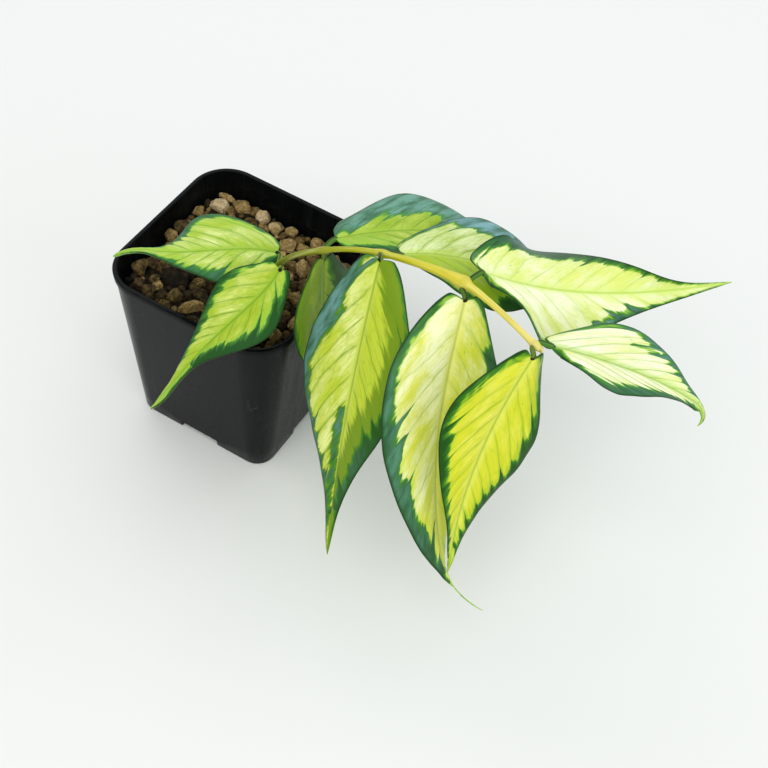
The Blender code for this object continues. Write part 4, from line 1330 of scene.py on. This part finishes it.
LEAVES = (
    (
        LeafForm(
            "leaf_1", 0, (15.8, -1.2, 83.2), (1.5, -10.8, 89.0), (-2.9, -30.2, 90.6), (-23.1, -38.3, 90.0), 12, -34,
            lobe=2.2,
            left=(6.5, 12.8, 12.0, 6.8, 2.2), right=(8.3, 16.4, 17.5, 6.8, 2.4), hook=(2.5, -3.0, -3.0),
            left_lift=(-1.0, -3.0, -3.5, -1.0, 0.0),
        ),
        LeafLook(
            left_band=(3.5, 4.5, 4.0, 3.5, 2.6, 1.5, 0.7, 0.3), right_band=(2.0, 2.2, 2.6, 3.2, 4.6, 1.5, 0.5, 0.3),
            left_painted_sheen=(0.2, 0.2, 0.3, 0.4, 0.4, 0.2, 0.0, 0.0), right_painted_sheen=(0.1, 0.2, 0.2, 0.3, 0.4, 0.2, 0.0, 0.0),
            heart="#e4eca0", flush="#abc63c", vein="#74a41e", rib="#9cc43a", dark="#275a28", green="#3f7f35",
            painted_sheen="#5c957c", spacing=6.0, tooth=2.4, left_veil_and_shade=0.15, right_veil_and_shade=0.1, stalk="#8c9a2c",
        ),
    ),
    (
        LeafForm(
            "leaf_2", 0, (24.8, -13.2, 91.6), (26.2, -30.2, 86.6), (14.9, -47.8, 82.1), (11.8, -66.9, 66.1), 13, -44,
            lobe=3.0,
            left=(5.9, 12.0, 12.2, 4.3, 3.6), right=(9.0, 13.8, 11.2, 6.6, 2.8), hook=(-2.4, -0.6, -0.2),
            right_lift=(0.5, 2.0, 1.2, 0.0, 0.0),
        ),
        LeafLook(
            left_band=(1.5, 3.0, 4.2, 5.0, 5.0, 3.2, 1.2, 0.4), right_band=(2.2, 2.4, 3.0, 3.2, 2.6, 1.5, 0.7, 0.3),
            heart="#dde884", flush="#a4bc26", vein="#6f9614", rib="#94bb30", dark="#1e4f1a", left_flush=0.6,
            spacing=6.0, tooth=2.2, left_veil_and_shade=0.3, stalk="#8c9a2c",
        ),
    ),
    (
        LeafForm(
            "leaf_3", 1, (35.0, 2.4, 98.2), (50.0, 19.0, 99.5), (65.0, 33.0, 95.5), (81.0, 46.5, 83.0), 16, -6,
            lobe=0.4,
            left=(10.5, 16.5, 20.0, 12.5, 4.0), right=(8.5, 14.0, 18.5, 12.5, 4.5),
        ),
        # heart colour partly darkened as painted shade, and the right veil paints shade on that half
        LeafLook(
            left_band=(4.0, 9.5, 11.8, 13.5, 13.0, 10.0, 5.0, 2.0), right_band=(1.0, 3.0, 5.0, 6.5, 6.0, 5.0, 3.0, 1.5),
            left_painted_sheen=(0.4, 0.8, 0.9, 1.0, 0.9, 0.8, 0.6, 0.4), right_painted_sheen=(0.0, 0.0, 0.2, 0.2, 0.1, 0.1, 0.1, 0.1),
            heart="#c6d766", flush="#93b326", vein="#6f9a24", rib="#a9c848", dark="#23561f", green="#4a8a34",
            painted_sheen="#74aa98", spacing=7.0, tooth=2.0, right_veil_and_shade=0.6, stalk="#5a7a22",
        ),
    ),
    (
        LeafForm(
            "leaf_4", 1, (35.0, -3.8, 94.8), (38.7, -9.5, 78.5), (39.7, -11.0, 56.5), (47.4, -13.8, 31.4), 52, 52,
            lobe=3.0,
            left=(9.0, 17.0, 17.0, 12.0, 4.5), right=(9.5, 17.0, 16.5, 10.5, 4.5),
        ),
        # this leaf hangs in shade: its heart, flush, vein and lime colours are darkened as painted shade
        LeafLook(
            left_band=(3.0, 9.0, 13.0, 14.5, 14.0, 10.0, 6.0, 2.0), right_band=(0.9, 1.0, 1.2, 1.4, 1.6, 2.0, 2.0, 1.0),
            heart="#a5b642", flush="#6c8a14", vein="#66891a", rib="#9cb14c", dark="#274f14", green="#467a22",
            lime="#6a961e", left_flush=0.5, right_flush=0.5, tooth=2.5, stalk="#5c6c20",
        ),
    ),
    (
        LeafForm(
            "leaf_5", 2, (56.5, -6.0, 109.5), (61.0, -22.5, 87.5), (66.5, -42.0, 63.0), (78.5, -65.5, 37.5), -24, -52,
            lobe=2.6,
            left=(11.0, 19.0, 20.0, 11.5, 3.0), right=(11.5, 20.0, 22.0, 12.5, 3.5),
        ),
        # the left half is darkened as painted shade: strong left flush, full left veil, deep veil and a dark lime
        LeafLook(
            left_band=(1.0, 1.3, 1.8, 3.4, 5.6, 4.8, 2.4, 0.8), right_band=(1.5, 6.0, 9.2, 4.6, 2.9, 2.6, 3.2, 0.8),
            right_painted_sheen=(0.5, 0.9, 1.0, 0.8, 0.7, 0.3, 0.1, 0.0), left_painted_sheen=(0.0, 0.0, 0.0, 0.0, 0.0, 0.2, 0.2, 0.0),
            heart="#eaf09c", flush="#bccd36", vein="#7da01c", rib="#ccd95c", dark="#22520f", green="#43821f",
            painted_sheen="#6d9c98", left_flush=0.9, right_flush=0.25, left_veil_and_shade=1.0, spacing=9.0, tooth=4.0, stalk="#66722a",
            lime="#66880e", veil_and_shade_depth=0.9,
            patches=(Patch(Side.RIGHT, 0.50, 0.90, 0.5, 3.8),),
        ),
    ),
    (
        LeafForm(
            "leaf_6", 2, (59.5, 2.0, 106.0), (71.0, 18.0, 102.0), (92.0, 25.5, 96.0), (110.0, 38.0, 84.0), 14, -15,
            lobe=1.5,
            left=(9.0, 17.0, 21.0, 13.0, 4.0), right=(11.0, 18.0, 19.5, 13.0, 5.0),
        ),
        LeafLook(
            left_band=(0.8, 1.2, 2.5, 7.0, 9.0, 9.0, 6.0, 2.0), right_band=(0.8, 1.2, 1.5, 2.5, 5.0, 5.0, 4.0, 2.0),
            left_painted_sheen=(0.2, 0.4, 0.9, 1.0, 1.0, 0.9, 0.7, 0.4),
            heart="#dde9ac", flush="#a6c024", vein="#86a926", rib="#c3dc62", painted_sheen="#7fb0b4", dark="#1f5220",
            right_flush=0.95, left_flush=0.0, right_veil_and_shade=0.3, tooth=3.0, stalk="#6f8228",
        ),
    ),
    (
        LeafForm(
            "leaf_7", 3, (87.0, 2.5, 114.5), (99.0, 23.5, 93.5), (122.0, 37.5, 92.0), (150.5, 53.5, 104.5), 12, -44,
            lobe=4.4,
            mid_roll=-15, left=(12.0, 17.5, 16.5, 8.5, 1.8), right=(5.0, 17.5, 15.0, 7.2, 2.5), hook=(0.5, 0.5, 0.0),
            left_lift=(3.0, -2.0, -13.0, 1.0, 0.0), right_lift=(-1.5, -2.0, -6.5, 1.0, 0.0),
        ),
        LeafLook(
            left_band=(1.2, 2.8, 6.0, 6.2, 2.6, 1.4, 0.9, 0.5), right_band=(0.9, 1.0, 1.3, 1.4, 4.2, 0.9, 0.7, 0.5),
            left_painted_sheen=(0.2, 0.2, 0.2, 0.0, 0.0, 0.1, 0.1, 0.0), right_painted_sheen=(0.3, 0.5, 0.7, 0.9, 1.0, 0.3, 0.2, 0.1),
            heart="#f8fad8", flush="#dde877", vein="#b2d24e", rib="#d9ec86", dark="#1c4f1c", left_flush=0.3, vein_depth=0.6,
            veil_and_shade_depth=0.3,
            right_flush=0.0, spacing=8.0, tooth=2.4, painted_sheen="#7ba9a4", stalk="#4d6f22",
        ),
    ),
    (
        LeafForm(
            "leaf_8", 3, (87.1, -8.2, 112.6), (89.5, -19.0, 86.0), (97.0, -49.0, 59.5), (129.0, -52.0, 31.5), 27, 47,
            lobe=3.6, thread=0.88,
            left=(10.0, 19.0, 21.0, 10.5, 3.5), right=(10.5, 20.0, 19.5, 14.0, 4.0), hook=(4.0, 6.0, 4.0),
            left_lift=(-2.0, 0.0, -1.0, -1.0, -1.0), right_lift=(-3.5, 0.0, -1.5, 0.0, -1.0),
        ),
        LeafLook(
            left_band=(1.0, 1.2, 3.2, 3.4, 3.0, 2.0, 1.2, 0.2), right_band=(1.0, 1.5, 2.6, 4.6, 5.0, 6.2, 2.5, 0.2),
            right_painted_sheen=(0.5, 0.7, 0.7, 0.9, 0.7, 0.5, 0.2, 0.0), left_painted_sheen=(0.2, 0.3, 0.3, 0.2, 0.0, 0.0, 0.0, 0.0),
            heart="#f8f9ca", flush="#dade44", vein="#aec644", rib="#ece888", dark="#1d4c16", green="#3f7d2c",
            painted_sheen="#5a9274", end_flush=1.2, left_flush=0.4, right_flush=0.0, left_veil_and_shade=0.2, spacing=10.0, tooth=5.0,
            vein_depth=0.75, veil_and_shade_depth=0.4, stalk="#50611e",
        ),
    ),
    (
        LeafForm(
            "leaf_9", 4, (114.0, -15.0, 110.5), (110.3, -23.7, 93.0), (107.3, -39.2, 72.0), (114.8, -52.6, 42.4),
            60, 41, lobe=3.8, left=(8.0, 14.5, 17.0, 11.0, 4.0), right=(6.0, 16.0, 14.5, 8.5, 2.5),
            left_lift=(-4.5, -1.0, 0.0, 0.0, 0.0), right_lift=(-3.0, 0.0, -1.0, 1.0, 0.5),
        ),
        LeafLook(
            left_band=(1.3, 1.6, 2.8, 4.2, 3.8, 3.8, 2.3, 0.5), right_band=(1.0, 1.6, 2.4, 2.9, 2.7, 2.0, 1.1, 0.3),
            heart="#f0ea6c", flush="#d3d62a", vein="#96b416", rib="#dfe468", dark="#1b4d0e", lime="#86b51c",
            green="#3a7a18", left_flush=0.55, right_flush=0.45, spacing=7.0, tooth=3.0, sweep=1.4, left_veil_and_shade=0.3,
            vein_depth=0.85, stalk="#747528",
        ),
    ),
    (
        LeafForm(
            "leaf_10", 4, (117.0, -9.0, 111.5), (130.0, 1.0, 104.0), (151.5, 7.5, 103.5), (162.5, 6.0, 90.0), 14, 14,
            lobe=2.6,
            left=(9.5, 15.5, 17.5, 11.5, 3.5), right=(4.5, 16.5, 14.5, 10.0, 2.5), hook=(-6.5, -3.0, -2.0),
            left_lift=(-1.5, 1.0, 3.5, 2.5, 0.0), right_lift=(-1.0, 2.0, 1.5, 3.0, -0.5),
        ),
        LeafLook(
            left_band=(0.8, 1.6, 1.7, 2.2, 3.2, 2.8, 2.0, 0.6), right_band=(0.8, 1.5, 3.4, 4.4, 3.6, 2.4, 1.6, 0.5),
            left_painted_sheen=(0.1, 0.2, 0.2, 0.6, 1.0, 0.9, 0.7, 0.3), right_painted_sheen=(0.1, 0.1, 0.2, 0.3, 0.2, 0.1, 0.0, 0.0),
            heart="#fcfde0", flush="#e4ec90", vein="#8db532", rib="#a9cc54", dark="#1f5a1c", green="#3f8428",
            spacing=7.0, sweep=1.9, tooth=2.4, vein_depth=0.8, veil_and_shade_depth=0.35, left_flush=0.1,
            right_flush=0.15, stalk="#4f7026",
            patches=(Patch(Side.LEFT, 0.44, 0.60, 9.4, 11.4),),
        ),
    ),
)


# ---------------------------------------------------------------- studio


@dataclass(frozen=True)
class Studio:
    """A pale floor, soft light and the camera at the photograph's angle."""

    place: Triple = (194.168, -271.438, 419.171)
    right: Triple = (0.85213036, 0.51875591, 0.06903732)
    up: Triple = (-0.4425139, 0.64381586, 0.62424562)
    ahead: Triple = (-0.27938378, 0.56248862, -0.77817174)
    lens: float = 65.625
    floor_size: float = 4000.0
    floor_colour: str = "#e7e8e4"
    sky_colour: str = "#f3f4f4"
    sky_strength: float = 0.78

    def camera(self) -> None:
        """Stand the camera where the photograph was taken from."""
        data = bpy.data.cameras.new("camera")
        data.lens = self.lens
        data.sensor_width = 36.0
        data.clip_start, data.clip_end = 0.01, 20.0
        camera = bpy.data.objects.new("camera", data)
        columns = [Vector(self.right), Vector(self.up), -Vector(self.ahead)]
        turn = Matrix(columns).transposed().to_4x4()
        camera.matrix_world = Matrix.Translation(Vector(self.place) * MM) @ turn
        bpy.context.scene.collection.objects.link(camera)
        bpy.context.scene.camera = camera

    def floor(self) -> None:
        """Lay the floor just under the pot's foot."""
        half = self.floor_size / 2
        corners = np.array([(-half, -half, -0.05), (half, -half, -0.05), (half, half, -0.05), (-half, half, -0.05)])
        floor = mesh_piece("floor", corners, [[0, 1, 2, 3]])
        material, _, shader = painted("matt_white_board", 0.9, Specular_IOR_Level=0.1)
        shader.inputs["Base Color"].default_value = linear(self.floor_colour)
        floor.data.materials.append(material)

    def lamp(self, name: str, place: Triple, aim: Triple, size: float, power: float, colour: str) -> None:
        """Hang a square soft light.

        Args:
            name: the lamp's name.
            place: where it hangs.
            aim: what it points at.
            size: its side.
            power: its strength in watts.
            colour: its hex colour.
        """
        data = bpy.data.lights.new(name, "AREA")
        data.size = size * MM
        data.energy = power
        data.color = linear(colour)[:3]
        lamp = bpy.data.objects.new(name, data)
        lamp.location = Vector(place) * MM
        lamp.rotation_mode = "QUATERNION"
        lamp.rotation_quaternion = (Vector(aim) - Vector(place)).to_track_quat("-Z", "Y")
        bpy.context.scene.collection.objects.link(lamp)

    def sky(self) -> None:
        """Fill in from all round with an even pale light."""
        world = bpy.data.worlds.new("studio")
        world.use_nodes = True
        background = world.node_tree.nodes["Background"]
        background.inputs[0].default_value = linear(self.sky_colour)
        background.inputs[1].default_value = self.sky_strength
        bpy.context.scene.world = world
        bpy.context.scene.view_settings.view_transform = "Standard"

    def install(self) -> None:
        """Set everything up."""
        self.camera()
        self.floor()
        self.sky()
        self.lamp("window", (-650.0, 450.0, 900.0), (60.0, 0.0, 60.0), 700.0, 2.1, "#f1f6ff")
        self.lamp("far_window", (150.0, 1000.0, 330.0), (60.0, 0.0, 80.0), 900.0, 2.5, "#e6f0ff")
        self.lamp("side_window", (950.0, -150.0, 420.0), (40.0, 0.0, 40.0), 700.0, 1.8, "#dcebff")
        self.lamp("overhead", (150.0, -650.0, 1100.0), (60.0, 0.0, 60.0), 900.0, 6.6, "#ffffff")


def main() -> None:
    """Build every sub-assembly in order and report it."""
    logging.basicConfig(level=logging.INFO, format="%(message)s")
    Studio().install()
    pot = NurseryPot()
    pot.install()
    PumiceBed(pot).install()
    shoot = Shoot()
    shoot.install()
    DryStump().install()
    for number, (form, look) in enumerate(LEAVES, 1):
        Leaf(form, look, shoot, number).install()


if __name__ == "__main__":
    main()
